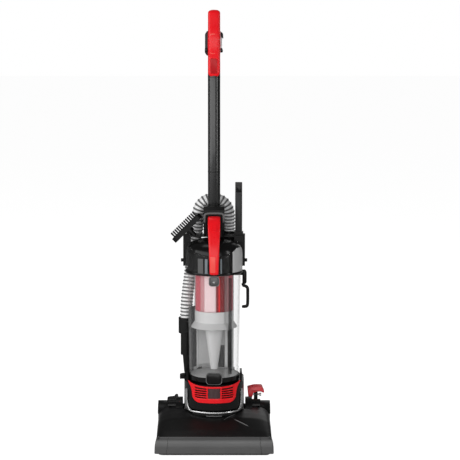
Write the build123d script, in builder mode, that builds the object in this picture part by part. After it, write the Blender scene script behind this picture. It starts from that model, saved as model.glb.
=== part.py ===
from build123d import *
import math
import os

os.makedirs("parts", exist_ok=True)

# Upright vacuum cleaner, in millimetres. The origin is on the floor under the middle of the
# machine. +X is to the right seen from the front, +Y points to the rear and +Z up.

# ---- driving dimensions --------------------------------------------------------------
overall_height = 1120
head_half_width = 151
head_front = -139

cup_y = 31              # upright axis of the dust cup and its lid
tube_y = 51             # upright axis of the handle tube
pivot_y = 61            # axis on which the body reclines, also the motor axis
pivot_z = 72

wall = 2.5
fit = 0.05              # radial clearance of a running fit
gap = 0.4               # clearance between parts that only pass each other

# floor head
shell_half_width = 147
shell_front = -135
shell_rear = 48
base_bottom = 4
base_top = 28
notch_half_width = 82
notch_front = 8
tower_half_width = 100.5
tower_radius = 35
trunnion_radius = 17
trunnion_end = 100.3
brush_y = -105
brush_z = 24
brush_core_radius = 16
bristle_radius = 23
belt_x = 106
belt_width = 7
drive_pulley_radius = 8
brush_pulley_radius = 11
chamber_rear = -74

# wheels and rollers
wheel_radius = 41
wheel_y = 98
wheel_inner_x = 124
wheel_outer_x = 148
axle_radius = 5
roller_radius = 9
roller_y = -60
roller_x = 60

# pedals
pin_y = 98
pin_radius = 2.5
recline_pin_z = 105
power_pin_z = 86

# motor housing
housing_radius = 78
housing_bottom = 96
housing_top = 162
housing_rear = 107
housing_wall = 3
drum_radius = 50

# dust cup, lid and carry handle
cup_radius = 69
cup_foot_radius = 64.5
cup_bottom = 178
cup_top = 446
door_radius = 66
door_bottom = 164
lid_radius = 74
lid_band_top = 496
lid_dome_height = 38
screen_radius = 49

# spine, neck and handle tube
spine_half_width = 30
spine_front = 105.6
spine_rear = 127
spine_top = 520
cradle_radius = 71
cradle_wall = 4
cradle_half_angle = 40
collar_half_width = 27
collar_bottom = 540
collar_top = 618
tube_radius = 15.9
tube_bottom = 556
grip_bottom = 948

# hose, its wand and its port
hose_radius = 16.5
wand_x = -73.5
wand_y = 89
wand_top = 316
wand_shoulder = 274
port_x = 38.5
port_y = 102


# ---- helpers used inside part blocks -------------------------------------------------
def box_between(x_range, y_range, z_range, mode=Mode.ADD):
    """A box from its lowest to its highest corner."""
    lows = (x_range[0], y_range[0], z_range[0])
    highs = (x_range[1], y_range[1], z_range[1])
    middle = tuple((low + high) / 2 for low, high in zip(lows, highs))
    with Locations(middle):
        Box(*[high - low for low, high in zip(lows, highs)], mode=mode)


def rod_x(y, z, radius, x_start, x_end, mode=Mode.ADD):
    """A round rod along X."""
    with BuildSketch(Plane.YZ.offset(x_start)) as section:
        with Locations((y, z)):
            Circle(radius)
    extrude(section.sketch, amount=x_end - x_start, mode=mode)


def rod_z(x, y, radius, z_start, z_end, mode=Mode.ADD):
    """A round rod along Z."""
    with BuildSketch(Plane.XY.offset(z_start)) as section:
        with Locations((x, y)):
            Circle(radius)
    extrude(section.sketch, amount=z_end - z_start, mode=mode)


def side_plate(points, x_start, x_end, mode=Mode.ADD):
    """A plate with the given outline in Y and Z, from x_start to x_end."""
    with BuildSketch(Plane.YZ.offset(x_start)) as section:
        with BuildLine():
            Polyline(*points, close=True)
        make_face()
    extrude(section.sketch, amount=x_end - x_start, mode=mode)


def front_plate(points, y_start, y_end, mode=Mode.ADD):
    """A plate with the given outline in X and Z, from y_start to y_end."""
    with BuildSketch(Plane.XZ.offset(-y_start)) as section:
        with BuildLine():
            Polyline(*points, close=True)
        make_face()
    extrude(section.sketch, amount=-(y_end - y_start), mode=mode)


def finish(builder, name):
    """Label a finished piece and write it."""
    builder.part.label = name
    export_step(builder.part, f"parts/{name}.step")


# ---- floor head ----------------------------------------------------------------------
def head_outline(inset):
    """Plan of the head: square behind, round front corners."""
    front = shell_front + inset
    rear = shell_rear - inset
    half = shell_half_width - inset
    with Locations((0, (front + rear) / 2)):
        outline = Rectangle(2 * half, rear - front)
    front_corners = outline.vertices().group_by(Axis.Y)[0]
    fillet(front_corners, radius=24 - inset)


def cut_body_notch(inset):
    """Room for the motor drum and, wider, for the two pivot towers."""
    wide = notch_half_width + inset
    box_between((-wide, wide), (notch_front - inset, 200), (-10, 200), Mode.SUBTRACT)
    wide = tower_half_width + inset
    box_between((-wide, wide), (24 - inset, 200), (-10, 200), Mode.SUBTRACT)


def hood_blank(inset):
    """Filled shape of the hood, shrunk by inset."""
    with BuildPart() as blank:
        with BuildSketch(Plane.XY.offset(base_top - 2 * inset)):
            head_outline(inset)
        extrude(amount=70)
        cut_body_notch(inset)
        with BuildSketch(Plane.YZ):
            with BuildLine():
                Polyline((shell_front, 0), (shell_front, 36))
                TangentArc((shell_front, 36), (-124, 48), tangent=(0, 1))
                Polyline((-124, 48), (-50, 79), (notch_front, 88), (60, 88), (60, 0))
                Line((60, 0), (shell_front, 0))
            make_face()
            offset(amount=-inset)
        extrude(amount=shell_half_width + 5, both=True, mode=Mode.INTERSECT)
    return blank.part


hood_outer = hood_blank(0)
hood_inner = hood_blank(wall)
partition = hood_outer & Pos(0, chamber_rear + wall / 2, 50) * Box(400, wall, 100)
belt_slot = Pos(belt_x + 3.5, chamber_rear, 36) * Box(13, 12, 44)

with BuildPart() as head_hood:
    add(hood_outer)
    add(hood_inner, mode=Mode.SUBTRACT)
    add(partition)
    add(belt_slot, mode=Mode.SUBTRACT)
    for side in (-1, 1):
        x_near = side * (tower_half_width + wall)
        x_far = side * 119.5
        x_pair = (min(x_near, x_far), max(x_near, x_far))
        box_between(x_pair, (shell_rear - 6, shell_rear + 1), (0, 85.5), Mode.SUBTRACT)
    # the air duct passes the partition on the left
    with BuildSketch(Plane.XZ.offset(-chamber_rear + 5)):
        with Locations((-115, 40)):
            Circle(10)
    extrude(amount=-15, mode=Mode.SUBTRACT)
    # round the two long upper side edges of the hood
    top_edges = head_hood.edges().filter_by(lambda e: abs(abs(e.center().X) - shell_half_width) < 0.1)
    top_edges = top_edges.filter_by(lambda e: e.center().Z > 50 and e.length > 30)
    chamfer(top_edges, length=1.2)
finish(head_hood, "head_hood")

screw_places = [(side * x, y) for side in (-1, 1) for x, y in ((128, -66), (20, -66), (128, 20))]

with BuildPart() as head_base:
    with BuildSketch(Plane.XY.offset(base_bottom)):
        head_outline(0)
    extrude(amount=base_top - base_bottom)
    with BuildSketch(Plane.XY.offset(base_bottom + 4)):
        head_outline(3)
    extrude(amount=base_top, mode=Mode.SUBTRACT)
    # brush chamber wall, drum notch and its rim
    box_between((-144.5, 144.5), (chamber_rear, chamber_rear + wall), (base_bottom, base_top))
    rim = notch_half_width + wall
    box_between((-rim, rim), (notch_front - wall, notch_front + 1), (base_bottom, base_top))
    box_between((-90, 90), (notch_front, 200), (0, 200), Mode.SUBTRACT)
    # rear arms that carry the towers and the wheels
    for side in (-1, 1):
        inner_x = side * (notch_half_width + 0.5)
        outer_x = side * 100
        arm = [(notch_front, base_bottom), (112, base_bottom), (112, 50), (96, pivot_z),
               (26, pivot_z), (24.6, base_top), (notch_front, base_top)]
        side_plate(arm, min(inner_x, outer_x), max(inner_x, outer_x))
        pod_x = side * 122
        x_pair = (min(outer_x, pod_x), max(outer_x, pod_x))
        box_between(x_pair, (shell_rear - 3, 91), (base_bottom, base_top))
        pocket = (min(side * 102.5, side * 119.5), max(side * 102.5, side * 119.5))
        box_between(pocket, (shell_rear - 8, 88), (base_bottom + 4, 60), Mode.SUBTRACT)
        rod_x(wheel_y, wheel_radius, 13, min(outer_x, pod_x), max(outer_x, pod_x))
        pin_z = recline_pin_z if side > 0 else power_pin_z
        post = (min(side * 106, side * 116), max(side * 106, side * 116))
        box_between(post, (91.3, 104.7), (30, pin_z))
        rod_x(pin_y, pin_z, 6.7, post[0], post[1])
        rod_x(wheel_y, wheel_radius, axle_radius, side * 110 - 15, side * 110 + 15, Mode.SUBTRACT)
        rod_x(pin_y, pin_z, pin_radius, post[0] - 1, post[1] + 1, Mode.SUBTRACT)
    rod_x(pivot_y, pivot_z, trunnion_radius + fit, -110, 110, Mode.SUBTRACT)
    for x, y in screw_places:
        rod_z(x, y, 1.7, base_bottom, base_bottom + 4, Mode.SUBTRACT)
    # suction mouth
    box_between((-132, 132), (-131, chamber_rear - 2), (0, base_bottom + 5), Mode.SUBTRACT)
    add(belt_slot, mode=Mode.SUBTRACT)
    # roller wells with their axle lugs
    for side in (-1, 1):
        with Locations((side * roller_x, roller_y, base_bottom)):
            Box(28, 22, 20, mode=Mode.SUBTRACT)
        for lug in (-1, 1):
            lug_x = side * roller_x + lug * 16
            box_between((lug_x - 2, lug_x + 2), (roller_y - 6, roller_y + 6), (base_bottom, 15))
        rod_x(roller_y, roller_radius, 2, side * roller_x - 20, side * roller_x + 20, Mode.SUBTRACT)
finish(head_base, "head_base")

with BuildPart() as front_bumper:
    bumper_rear = -84
    with BuildSketch(Plane.XY.offset(7)):
        with Locations((0, (head_front + bumper_rear) / 2)):
            band = Rectangle(2 * head_half_width, bumper_rear - head_front)
        fillet(band.vertices().group_by(Axis.Y)[0], radius=27)
    extrude(amount=39)
    with BuildSketch(Plane.XY.offset(0)):
        head_outline(-0.2)
    extrude(amount=100, mode=Mode.SUBTRACT)
    # the side wings of the band taper to the rear
    for side in (-1, 1):
        side_plate([(-115, 47), (bumper_rear + 1, 24), (bumper_rear + 1, 47)],
                   side * 120 - 40, side * 120 + 40, Mode.SUBTRACT)
    # air notches in the lower lip
    for notch_x in (-108, -60, -12, 36, 84):
        box_between((notch_x - 6, notch_x + 6), (head_front - 1, -130), (6, 13), Mode.SUBTRACT)
finish(front_bumper, "front_bumper")

with BuildPart() as sole_plate:
    with BuildSketch(Plane.XY.offset(base_bottom - 1.4)):
        with Locations((0, -102)):
            sole = Rectangle(280, 62)
        fillet(sole.vertices(), radius=10)
        with Locations((0, -103)):
            mouth = Rectangle(262, 54, mode=Mode.SUBTRACT)
    extrude(amount=1.4)
finish(sole_plate, "sole_plate")

with BuildPart() as brush_end_caps:
    for side in (-1, 1):
        x_pair = (min(side * 134, side * 143.2), max(side * 134, side * 143.2))
        box_between(x_pair, (brush_y - 9, brush_y + 14), (8, 43))
        rod_x(brush_y, brush_z, 4 + fit, side * 137.5 - 6, side * 137.5 + 6, Mode.SUBTRACT)
finish(brush_end_caps, "brush_end_caps")

with BuildPart() as drive_belt:
    for grow, mode in ((2, Mode.ADD), (0, Mode.SUBTRACT)):
        with BuildSketch(Plane.YZ.offset(belt_x)):
            with Locations((pivot_y, pivot_z)):
                Circle(drive_pulley_radius + grow + 0.1)
            with Locations((brush_y, brush_z)):
                Circle(brush_pulley_radius + grow + 0.1)
            make_hull()
        extrude(amount=belt_width, mode=mode)
finish(drive_belt, "drive_belt")


pod_rear = 84.5
pod_top = 99


def pod_cover(side, name):
    """Cover over one side of the pivot: the belt on the right, the air path on the left."""
    with BuildPart() as pod:
        for inset, mode in ((0, Mode.ADD), (wall, Mode.SUBTRACT)):
            near = side * (tower_half_width + inset)
            far = side * (122 - inset)
            low = base_top - 2 * inset
            with BuildSketch(Plane.YZ.offset(min(near, far))):
                with Locations(((shell_rear + pod_rear) / 2, (low + pod_top - inset) / 2)):
                    face = Rectangle(pod_rear - shell_rear - 2 * inset, pod_top - inset - low)
                fillet(face.vertices().group_by(Axis.Y)[-1], radius=15 - inset)
            extrude(amount=abs(far - near), mode=mode)
        # open towards the hood and round the hollow trunnion
        x_pair = (min(side * 103, side * 119.5), max(side * 103, side * 119.5))
        box_between(x_pair, (shell_rear - 1, shell_rear + 4), (0, 85.5), Mode.SUBTRACT)
        rod_x(pivot_y, pivot_z, trunnion_radius + gap, side * 101 - 3, side * 101 + 3, Mode.SUBTRACT)
    finish(pod, name)


pod_cover(1, "belt_cover")
pod_cover(-1, "duct_cover")

with BuildPart() as suction_duct:
    with BuildLine(Plane.XY) as duct_line:
        Line((-115, chamber_rear + wall + 3, 41), (-115, shell_rear - 8, 56))
    duct_path = duct_line.wires()[0]
    with BuildSketch(Plane(duct_path @ 0, z_dir=duct_path % 0)):
        Circle(11)
        Circle(9, mode=Mode.SUBTRACT)
    extrude(amount=duct_path.length)
finish(suction_duct, "suction_duct")

with BuildPart() as pivot_caps:
    for side in (-1, 1):
        x_start = min(side * (notch_half_width + 0.5), side * 100)
        x_end = max(side * (notch_half_width + 0.5), side * 100)
        rod_x(pivot_y, pivot_z, tower_radius, x_start, x_end)
        rod_x(pivot_y, pivot_z, trunnion_radius + fit, x_start, x_end, Mode.SUBTRACT)
        box_between((x_start, x_end), (0, 120), (0, pivot_z), Mode.SUBTRACT)
finish(pivot_caps, "pivot_caps")

with BuildPart() as head_axles:
    for side in (-1, 1):
        inner = side * 97
        outer = side * 146.4
        rod_x(wheel_y, wheel_radius, axle_radius, min(inner, outer), max(inner, outer))
        cap = side * 149
        rod_x(wheel_y, wheel_radius, 8, min(outer, cap), max(outer, cap))
        rod_x(roller_y, roller_radius, 2, side * roller_x - 18, side * roller_x + 18)
        pin_z = recline_pin_z if side > 0 else power_pin_z
        pin_ends = (98, 126) if side > 0 else (-123, -101)
        rod_x(pin_y, pin_z, pin_radius, pin_ends[0], pin_ends[1])
finish(head_axles, "head_axles")

with BuildPart() as pedal_springs:
    for x_start, length, pin_z in ((120.8, 4.6, recline_pin_z), (-118.9, 2.6, power_pin_z)):
        rod_x(pin_y, pin_z, 4.2, x_start, x_start + length)
        rod_x(pin_y, pin_z, pin_radius, x_start, x_start + length, Mode.SUBTRACT)
finish(pedal_springs, "pedal_springs")

with BuildPart() as head_screws:
    for x, y in screw_places:
        rod_z(x, y, 3.5, base_bottom - 1, base_bottom)
        rod_z(x, y, 1.7, base_bottom, base_bottom + 4)
finish(head_screws, "head_screws")


# ---- wheels and rollers --------------------------------------------------------------
def rear_wheel(side, name, tyre_name):
    """A dished hub that turns on the axle, and its tyre."""
    inner = min(side * 126, side * 146)
    outer = max(side * 126, side * 146)
    with BuildPart() as hub:
        rod_x(wheel_y, wheel_radius, wheel_radius - 7, inner, outer)
        dish = outer - 5 if side > 0 else inner
        rod_x(wheel_y, wheel_radius, 29, dish, dish + 5, Mode.SUBTRACT)
        rod_x(wheel_y, wheel_radius, 11, dish, dish + 5)
        for spoke in range(6):
            turn = math.radians(60 * spoke)
            spoke_y = wheel_y + 20 * math.cos(turn)
            spoke_z = wheel_radius + 20 * math.sin(turn)
            rod_x(spoke_y, spoke_z, 5, inner, outer, Mode.SUBTRACT)
        rod_x(wheel_y, wheel_radius, axle_radius + fit, inner, outer, Mode.SUBTRACT)
    finish(hub, name)
    with BuildPart() as tyre:
        x_start = min(side * wheel_inner_x, side * wheel_outer_x)
        x_end = max(side * wheel_inner_x, side * wheel_outer_x)
        rod_x(wheel_y, wheel_radius, wheel_radius, x_start, x_end)
        fillet(tyre.edges().filter_by(GeomType.CIRCLE), radius=3)
        rod_x(wheel_y, wheel_radius, wheel_radius - 7, x_start, x_end, Mode.SUBTRACT)
    finish(tyre, tyre_name)


rear_wheel(-1, "rear_wheel_left", "rear_tyre_left")
rear_wheel(1, "rear_wheel_right", "rear_tyre_right")

for side, name in ((-1, "front_roller_left"), (1, "front_roller_right")):
    with BuildPart() as front_roller:
        middle = side * roller_x
        rod_x(roller_y, roller_radius, roller_radius, middle - 12, middle + 12)
        fillet(front_roller.edges().filter_by(GeomType.CIRCLE), radius=1.5)
        rod_x(roller_y, roller_radius, 2 + fit, middle - 12, middle + 12, Mode.SUBTRACT)
    finish(front_roller, name)

# ---- brush roll ----------------------------------------------------------------------
with BuildPart() as brush_core:
    rod_x(brush_y, brush_z, 4, -140, 140)
    rod_x(brush_y, brush_z, brush_core_radius, -132, 132)
    groove_start = belt_x - 1.5
    groove_end = belt_x + belt_width + 1.5
    rod_x(brush_y, brush_z, brush_core_radius + 1, groove_start, groove_end, Mode.SUBTRACT)
    rod_x(brush_y, brush_z, brush_pulley_radius, groove_start, groove_end)
finish(brush_core, "brush_core")

with BuildPart() as brush_bristles:
    tuft_count = 15
    for row in range(2):
        for tuft in range(tuft_count):
            tuft_x = -122 + tuft * 15.4
            turn = 180 * row + 14 * tuft
            tuft_plane = Plane(
                origin=(tuft_x, brush_y, brush_z),
                x_dir=(1, 0, 0),
                z_dir=(0, math.cos(math.radians(turn)), math.sin(math.radians(turn))),
            )
            with BuildSketch(tuft_plane.offset(brush_core_radius - 0.2)):
                Circle(2.6)
            extrude(amount=bristle_radius - brush_core_radius)
    rod_x(brush_y, brush_z, brush_core_radius, -132, 132, Mode.SUBTRACT)
finish(brush_bristles, "brush_bristles")

# ---- pedals --------------------------------------------------------------------------
with BuildPart() as recline_pedal:
    tread = [(87, 118), (87, 126), (93, 131), (118, 127), (129, 121), (133, 112), (132, 104),
             (129, 104), (127, 112), (120, 119), (112, 121), (92, 122), (90, 118)]
    front_plate(tread, 90, 133)
    for lug, lug_top in (((98.4, 105.6), 123), ((116.4, 120.4), 121)):
        rod_x(pin_y, recline_pin_z, 6, lug[0], lug[1])
        box_between(lug, (93, 103), (recline_pin_z, lug_top))
        rod_x(pin_y, recline_pin_z, pin_radius + fit, lug[0], lug[1], Mode.SUBTRACT)
finish(recline_pedal, "recline_pedal")

with BuildPart() as power_pedal:
    tread = [(-124, 93), (-125, 97), (-120, 102), (-98, 103), (-95, 99), (-96, 95.5), (-120, 95.5)]
    front_plate(tread, 90, 128)
    for lug in ((-105.6, -101.8), (-122.4, -119.2)):
        box_between(lug, (94, 102), (power_pin_z, 97))
        rod_x(pin_y, power_pin_z, 5, lug[0], lug[1])
        rod_x(pin_y, power_pin_z, pin_radius + fit, lug[0], lug[1], Mode.SUBTRACT)
finish(power_pedal, "power_pedal")


# ---- motor housing -------------------------------------------------------------------
def housing_blank(inset):
    """Filled shape of the motor housing: an upright D over a drum on the pivot axis."""
    radius = housing_radius - inset
    with BuildPart() as blank:
        with BuildSketch(Plane.XY.offset(housing_bottom + inset)):
            with Locations((0, cup_y)):
                Circle(radius)
            rear = housing_rear - inset
            with Locations((0, (cup_y + rear) / 2)):
                back = Rectangle(2 * radius, rear - cup_y)
            fillet(back.vertices().group_by(Axis.Y)[-1], radius=24)
            half = spine_half_width + 4 - inset
            with Locations((0, 113 - inset)):
                Rectangle(2 * half, 28)
        extrude(amount=housing_top - housing_bottom - 2 * inset)
        rod_x(pivot_y, pivot_z, drum_radius - inset, -radius, radius)
    return blank.part


housing_outer = housing_blank(0)
housing_inner = housing_blank(housing_wall)
split_y = 85

with BuildPart() as motor_housing:
    add(housing_outer)
    for side in (-1, 1):
        rod_x(pivot_y, pivot_z, trunnion_radius, min(side * 70, side * trunnion_end),
              max(side * 70, side * trunnion_end))
    add(housing_inner, mode=Mode.SUBTRACT)
    # hollow trunnions: air on the left, motor shaft on the right
    rod_x(pivot_y, pivot_z, 11, -trunnion_end - 1, -60, Mode.SUBTRACT)
    rod_x(pivot_y, pivot_z, 8, 60, trunnion_end + 1, Mode.SUBTRACT)
    # window behind the exhaust grille
    box_between((-52, 52), (-60, 10), (123, 152), Mode.SUBTRACT)
    # low ears beside the cup
    for side in (-1, 1):
        ear = (min(side * 67, side * 73), max(side * 67, side * 73))
        box_between(ear, (8, 54), (housing_top - 1, 186))
    box_between((-200, 200), (split_y, 300), (-10, 300), Mode.SUBTRACT)
finish(motor_housing, "motor_housing")

with BuildPart() as motor_rear_cover:
    add(housing_outer)
    # seat of the wand duct
    rod_z(wand_x, wand_y, 17.5, 150, housing_top)
    add(housing_inner, mode=Mode.SUBTRACT)
    # air channel up into the spine
    box_between((-22, 22), (108.5, 120), (housing_top - 5, housing_top + 1), Mode.SUBTRACT)
    box_between((-200, 200), (-200, split_y), (-10, 300), Mode.SUBTRACT)
finish(motor_rear_cover, "motor_rear_cover")

with BuildPart() as trim_band:
    with BuildSketch(Plane.XY.offset(91.5)):
        with Locations((0, cup_y)):
            Circle(housing_radius + 3.5)
            Circle(housing_radius - 8, mode=Mode.SUBTRACT)
    extrude(amount=housing_bottom - 91.5)
    with BuildSketch(Plane.XY.offset(housing_bottom)):
        with Locations((0, cup_y)):
            Circle(housing_radius + 3.5)
            Circle(housing_radius + 0.01, mode=Mode.SUBTRACT)
    extrude(amount=2)
    box_between((-100, 100), (notch_front, 200), (80, 110), Mode.SUBTRACT)
finish(trim_band, "trim_band")

with BuildPart() as motor:
    rod_x(pivot_y, pivot_z, 34, -30, 44)
    rod_x(pivot_y, pivot_z, 14, 44, 54)
    rod_x(pivot_y, pivot_z, 4 + fit, -31, 55, Mode.SUBTRACT)
finish(motor, "motor")

with BuildPart() as fan_housing:
    rod_x(pivot_y, pivot_z, 45, -66, -34)
    rod_x(pivot_y, pivot_z, 42.5, -66 + wall, -34 - wall, Mode.SUBTRACT)
    rod_x(pivot_y, pivot_z, 14, -70, -33, Mode.SUBTRACT)
finish(fan_housing, "fan_housing")

with BuildPart() as exhaust_filter:
    box_between((-50, 50), (-20, -6), (121, 155))
    for pleat in range(12):
        pleat_x = -44 + 8 * pleat
        box_between((pleat_x - 2, pleat_x + 2), (-21, -12), (125, 151), Mode.SUBTRACT)
finish(exhaust_filter, "exhaust_filter")

with BuildPart() as rotor_shaft:
    rod_x(pivot_y, pivot_z, 4, -60, 116)
    rod_x(pivot_y, pivot_z, drive_pulley_radius, belt_x - 1, belt_x + belt_width + 1)
    rod_x(pivot_y, pivot_z, drive_pulley_radius + 1.5, belt_x + belt_width + 1, belt_x + belt_width + 2.5)
finish(rotor_shaft, "rotor_shaft")

with BuildPart() as fan_impeller:
    rod_x(pivot_y, pivot_z, 38, -42, -39.5)
    rod_x(pivot_y, pivot_z, 9, -58, -39.5)
    for blade in range(9):
        turn = 40 * blade
        blade_plane = Plane(
            origin=(-57, pivot_y, pivot_z),
            x_dir=(0, math.cos(math.radians(turn)), math.sin(math.radians(turn))),
            z_dir=(1, 0, 0),
        )
        with BuildSketch(blade_plane):
            with Locations((22, 0)):
                Rectangle(30, 1.6, rotation=18)
        extrude(amount=15.2)
    rod_x(pivot_y, pivot_z, 4, -60, -38, Mode.SUBTRACT)
finish(fan_impeller, "fan_impeller")

# ---- exhaust grille ------------------------------------------------------------------
with BuildPart() as exhaust_grille:
    with BuildSketch(Plane.XY.offset(116)):
        with Locations((0, cup_y)):
            Circle(housing_radius + 3.2)
            Circle(housing_radius + 0.4, mode=Mode.SUBTRACT)
    extrude(amount=43)
    with BuildSketch(Plane.XZ.offset(60)):
        with BuildLine():
            Polyline((-45, 116), (45, 116), (60, 130), (62, 159), (-62, 159), (-60, 130), close=True)
        make_face()
    extrude(amount=-60, mode=Mode.INTERSECT)
    # lugs that clip into the window
    for lug_x in (-46, 46):
        box_between((lug_x - 4, lug_x + 4), (-32, -21.5), (124, 148))
    for side in (-1, 1):
        for slot in range(5):
            slot_z = 129 + 6 * slot
            x_pair = (min(side * 21, side * 40), max(side * 21, side * 40))
            box_between(x_pair, (-60, 0), (slot_z - 1.6, slot_z + 1.6), Mode.SUBTRACT)
    box_between((-15, 15), (-60, 0), (131, 151), Mode.SUBTRACT)
finish(exhaust_grille, "exhaust_grille")

# ---- spine, neck and tool bracket ----------------------------------------------------
spine_split = 114


def spine_blank(inset):
    """Filled shape of the spine, a flat upright column behind the cup."""
    with BuildPart() as blank:
        with BuildSketch(Plane.XY.offset(housing_top + inset)):
            with Locations((0, (spine_front + spine_rear) / 2)):
                column = Rectangle(2 * (spine_half_width - inset), spine_rear - spine_front - 2 * inset)
            fillet(column.vertices(), radius=6 - inset)
        extrude(amount=spine_top - housing_top - 2 * inset)
    return blank.part


spine_outer = spine_blank(0)
spine_inner = spine_blank(wall)
channel_foot = Pos(0, 114.2, housing_top) * Box(44, 11, 8)

with BuildPart() as spine:
    add(spine_outer)
    add(spine_inner, mode=Mode.SUBTRACT)
    add(channel_foot, mode=Mode.SUBTRACT)
    # clean air port behind the lid
    box_between((-14, 14), (spine_front - 1, spine_front + 4), (452, 478), Mode.SUBTRACT)
    box_between((-100, 100), (spine_split, 200), (0, 600), Mode.SUBTRACT)
    # concave cradle behind the dust cup, on a rib down the front of the spine
    cradle_front = cup_y + cradle_radius * math.cos(math.radians(cradle_half_angle))
    with BuildSketch(Plane.XY.offset(cup_bottom + 4)):
        with Locations((0, cup_y)):
            Circle(cradle_radius + cradle_wall)
        with Locations((0, spine_front - 2)):
            Rectangle(48, 8)
        with Locations((0, cup_y)):
            Circle(cradle_radius, mode=Mode.SUBTRACT)
        with Locations((0, cradle_front - 100)):
            Rectangle(300, 200, mode=Mode.SUBTRACT)
    extrude(amount=cup_top - cup_bottom - 6)
finish(spine, "spine")

with BuildPart() as spine_cover:
    add(spine_outer)
    add(spine_inner, mode=Mode.SUBTRACT)
    add(channel_foot, mode=Mode.SUBTRACT)
    box_between((-100, 100), (0, spine_split), (0, 600), Mode.SUBTRACT)
finish(spine_cover, "spine_cover")

with BuildPart() as neck_collar:
    collar_points = [(22, collar_bottom), (22, 598), (3, 598), (3, 610), (14, collar_top), (60, collar_top),
                     (68, 608), (68, 570), (68, collar_bottom)]
    side_plate(collar_points, -collar_half_width, collar_half_width)
    # cheeks either side of the carry handle
    for side in (-1, 1):
        x_pair = (min(side * 20.5, side * collar_half_width), max(side * 20.5, side * collar_half_width))
        cheek = [(3, 598), (7, 560), (16, collar_bottom), (23, collar_bottom), (23, 598)]
        side_plate(cheek, x_pair[0], x_pair[1])
    upright = neck_collar.edges().filter_by(lambda e: e.center().Y > 67 and e.length > 20)
    upright = upright.filter_by(lambda e: abs(abs(e.center().X) - collar_half_width) < 0.1)
    fillet(upright, radius=9)
    # rear neck, down to the top of the spine and under the hose
    neck = [(60, collar_bottom), (60, 588), (72, 584), (spine_rear, 556), (spine_rear, spine_top),
            (spine_front, spine_top), (spine_front, collar_bottom)]
    side_plate(neck, -17, 17)
    rod_z(0, tube_y, tube_radius, tube_bottom, collar_top + 1, Mode.SUBTRACT)
finish(neck_collar, "neck_collar")

peg_plane = Plane(origin=(-50, tube_y, 538.5), x_dir=(1, 0, 1), z_dir=(-1, 0, 1))
peg_radius = 6.5

with BuildPart() as tool_bracket:
    plate_z = (536, collar_bottom)
    box_between((-81, 81), (66, 81), plate_z)
    box_between((-64, 76), (40, 67), plate_z)
    for side in (-1, 1):
        x_pair = (min(side * 61, side * 81), max(side * 61, side * 81))
        box_between(x_pair, (75, 84), (455, plate_z[1]))
        rod_x(79.5, 470, 4.5, min(side * 80, side * 87), max(side * 80, side * 87))
    # holder of the crevice tool
    box_between((52.5, 76), (51, 73), (522, 548))
    box_between((55.2, 73.2), (54, 70), (524, 550), Mode.SUBTRACT)
    # peg of the dusting brush, leaning to the upper left
    with BuildSketch(peg_plane):
        Circle(peg_radius)
    extrude(amount=24)
finish(tool_bracket, "tool_bracket")

with BuildPart() as wand_duct:
    with BuildSketch(Plane.XY.offset(housing_top)):
        with Locations((wand_x, wand_y)):
            Circle(16.5)
    with BuildSketch(Plane.XY.offset(wand_shoulder - 1)):
        with Locations((wand_x, wand_y)):
            Circle(18.5)
    loft()
    rod_z(wand_x, wand_y, 15.4, housing_top + 3, wand_shoulder, Mode.SUBTRACT)
    # web to the spine
    box_between((-62, -spine_half_width), (112, 116), (180, 260))
    box_between((-66, -62), (98, 116), (180, 260))
    rod_z(wand_x, wand_y, 15.4, housing_top + 3, wand_shoulder, Mode.SUBTRACT)
finish(wand_duct, "wand_duct")

with BuildPart() as hose_port:
    rod_z(port_x, port_y, 20.5, 521, 545)
    box_between((17, port_x), (95, 109), (523, 539))
    rod_z(port_x, port_y, hose_radius + 0.3, 529, 546, Mode.SUBTRACT)
    rod_z(port_x, port_y, 13, 524, 530, Mode.SUBTRACT)
finish(hose_port, "hose_port")

with BuildPart() as lower_cord_hook:
    box_between((spine_half_width, 84), (107, 114), (405, 440))
    box_between((70, 93), (107, 114), (345, 441))
    box_between((60, 84), (106, 115), (355, 399), Mode.SUBTRACT)
    fillet(lower_cord_hook.edges().filter_by(Axis.Y).group_by(Axis.X)[-1], radius=5)
finish(lower_cord_hook, "lower_cord_hook")

with BuildPart() as cord_gland:
    with BuildSketch(Plane.XZ.offset(-spine_rear)):
        with Locations((16, 196)):
            Circle(8)
            Circle(3.6, mode=Mode.SUBTRACT)
    extrude(amount=-9)
finish(cord_gland, "cord_gland")

with BuildPart() as body_screws:
    for x, z in ((-20, 240), (20, 240), (-20, 360), (20, 360), (-20, 480), (20, 480)):
        with BuildSketch(Plane.XZ.offset(-spine_rear)):
            with Locations((x, z)):
                Circle(3.5)
        extrude(amount=-1.2)
finish(body_screws, "body_screws")

# ---- handle tube, grip and upper cord hook -------------------------------------------
with BuildPart() as handle_tube:
    rod_z(0, tube_y, tube_radius, tube_bottom, grip_bottom)
    rod_z(0, tube_y, 12, grip_bottom, grip_bottom + 46)
    rod_z(0, tube_y, 10.5, tube_bottom, grip_bottom + 46, Mode.SUBTRACT)
finish(handle_tube, "handle_tube")

with BuildPart() as handle_grip:
    with BuildSketch(Plane.YZ):
        with BuildLine():
            Polyline((69, grip_bottom), (36, grip_bottom), (33, 962), (32, 996))
            Line((32, 996), (27, 1020))
            ThreePointArc((27, 1020), (26.5, 1040), (30, 1058))
            Line((30, 1058), (40, 1105))
            ThreePointArc((40, 1105), (53, overall_height), (66, 1106))
            Polyline((66, 1106), (66, 1072), (69, 1060), (69, grip_bottom))
        make_face()
    extrude(amount=15.8, both=True)
    long_edges = handle_grip.edges().filter_by(lambda e: abs(abs(e.center().X) - 15.8) < 0.1)
    long_edges = long_edges.filter_by(lambda e: e.center().Z > grip_bottom + 1)
    chamfer(long_edges, length=3.5)
    rod_z(0, tube_y, 12, grip_bottom - 1, grip_bottom + 47, Mode.SUBTRACT)
    # boss on which the cord hook turns
    with BuildSketch(Plane.XZ.offset(-68)):
        with Locations((0, 1034)):
            Circle(4)
    extrude(amount=-16)
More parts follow.
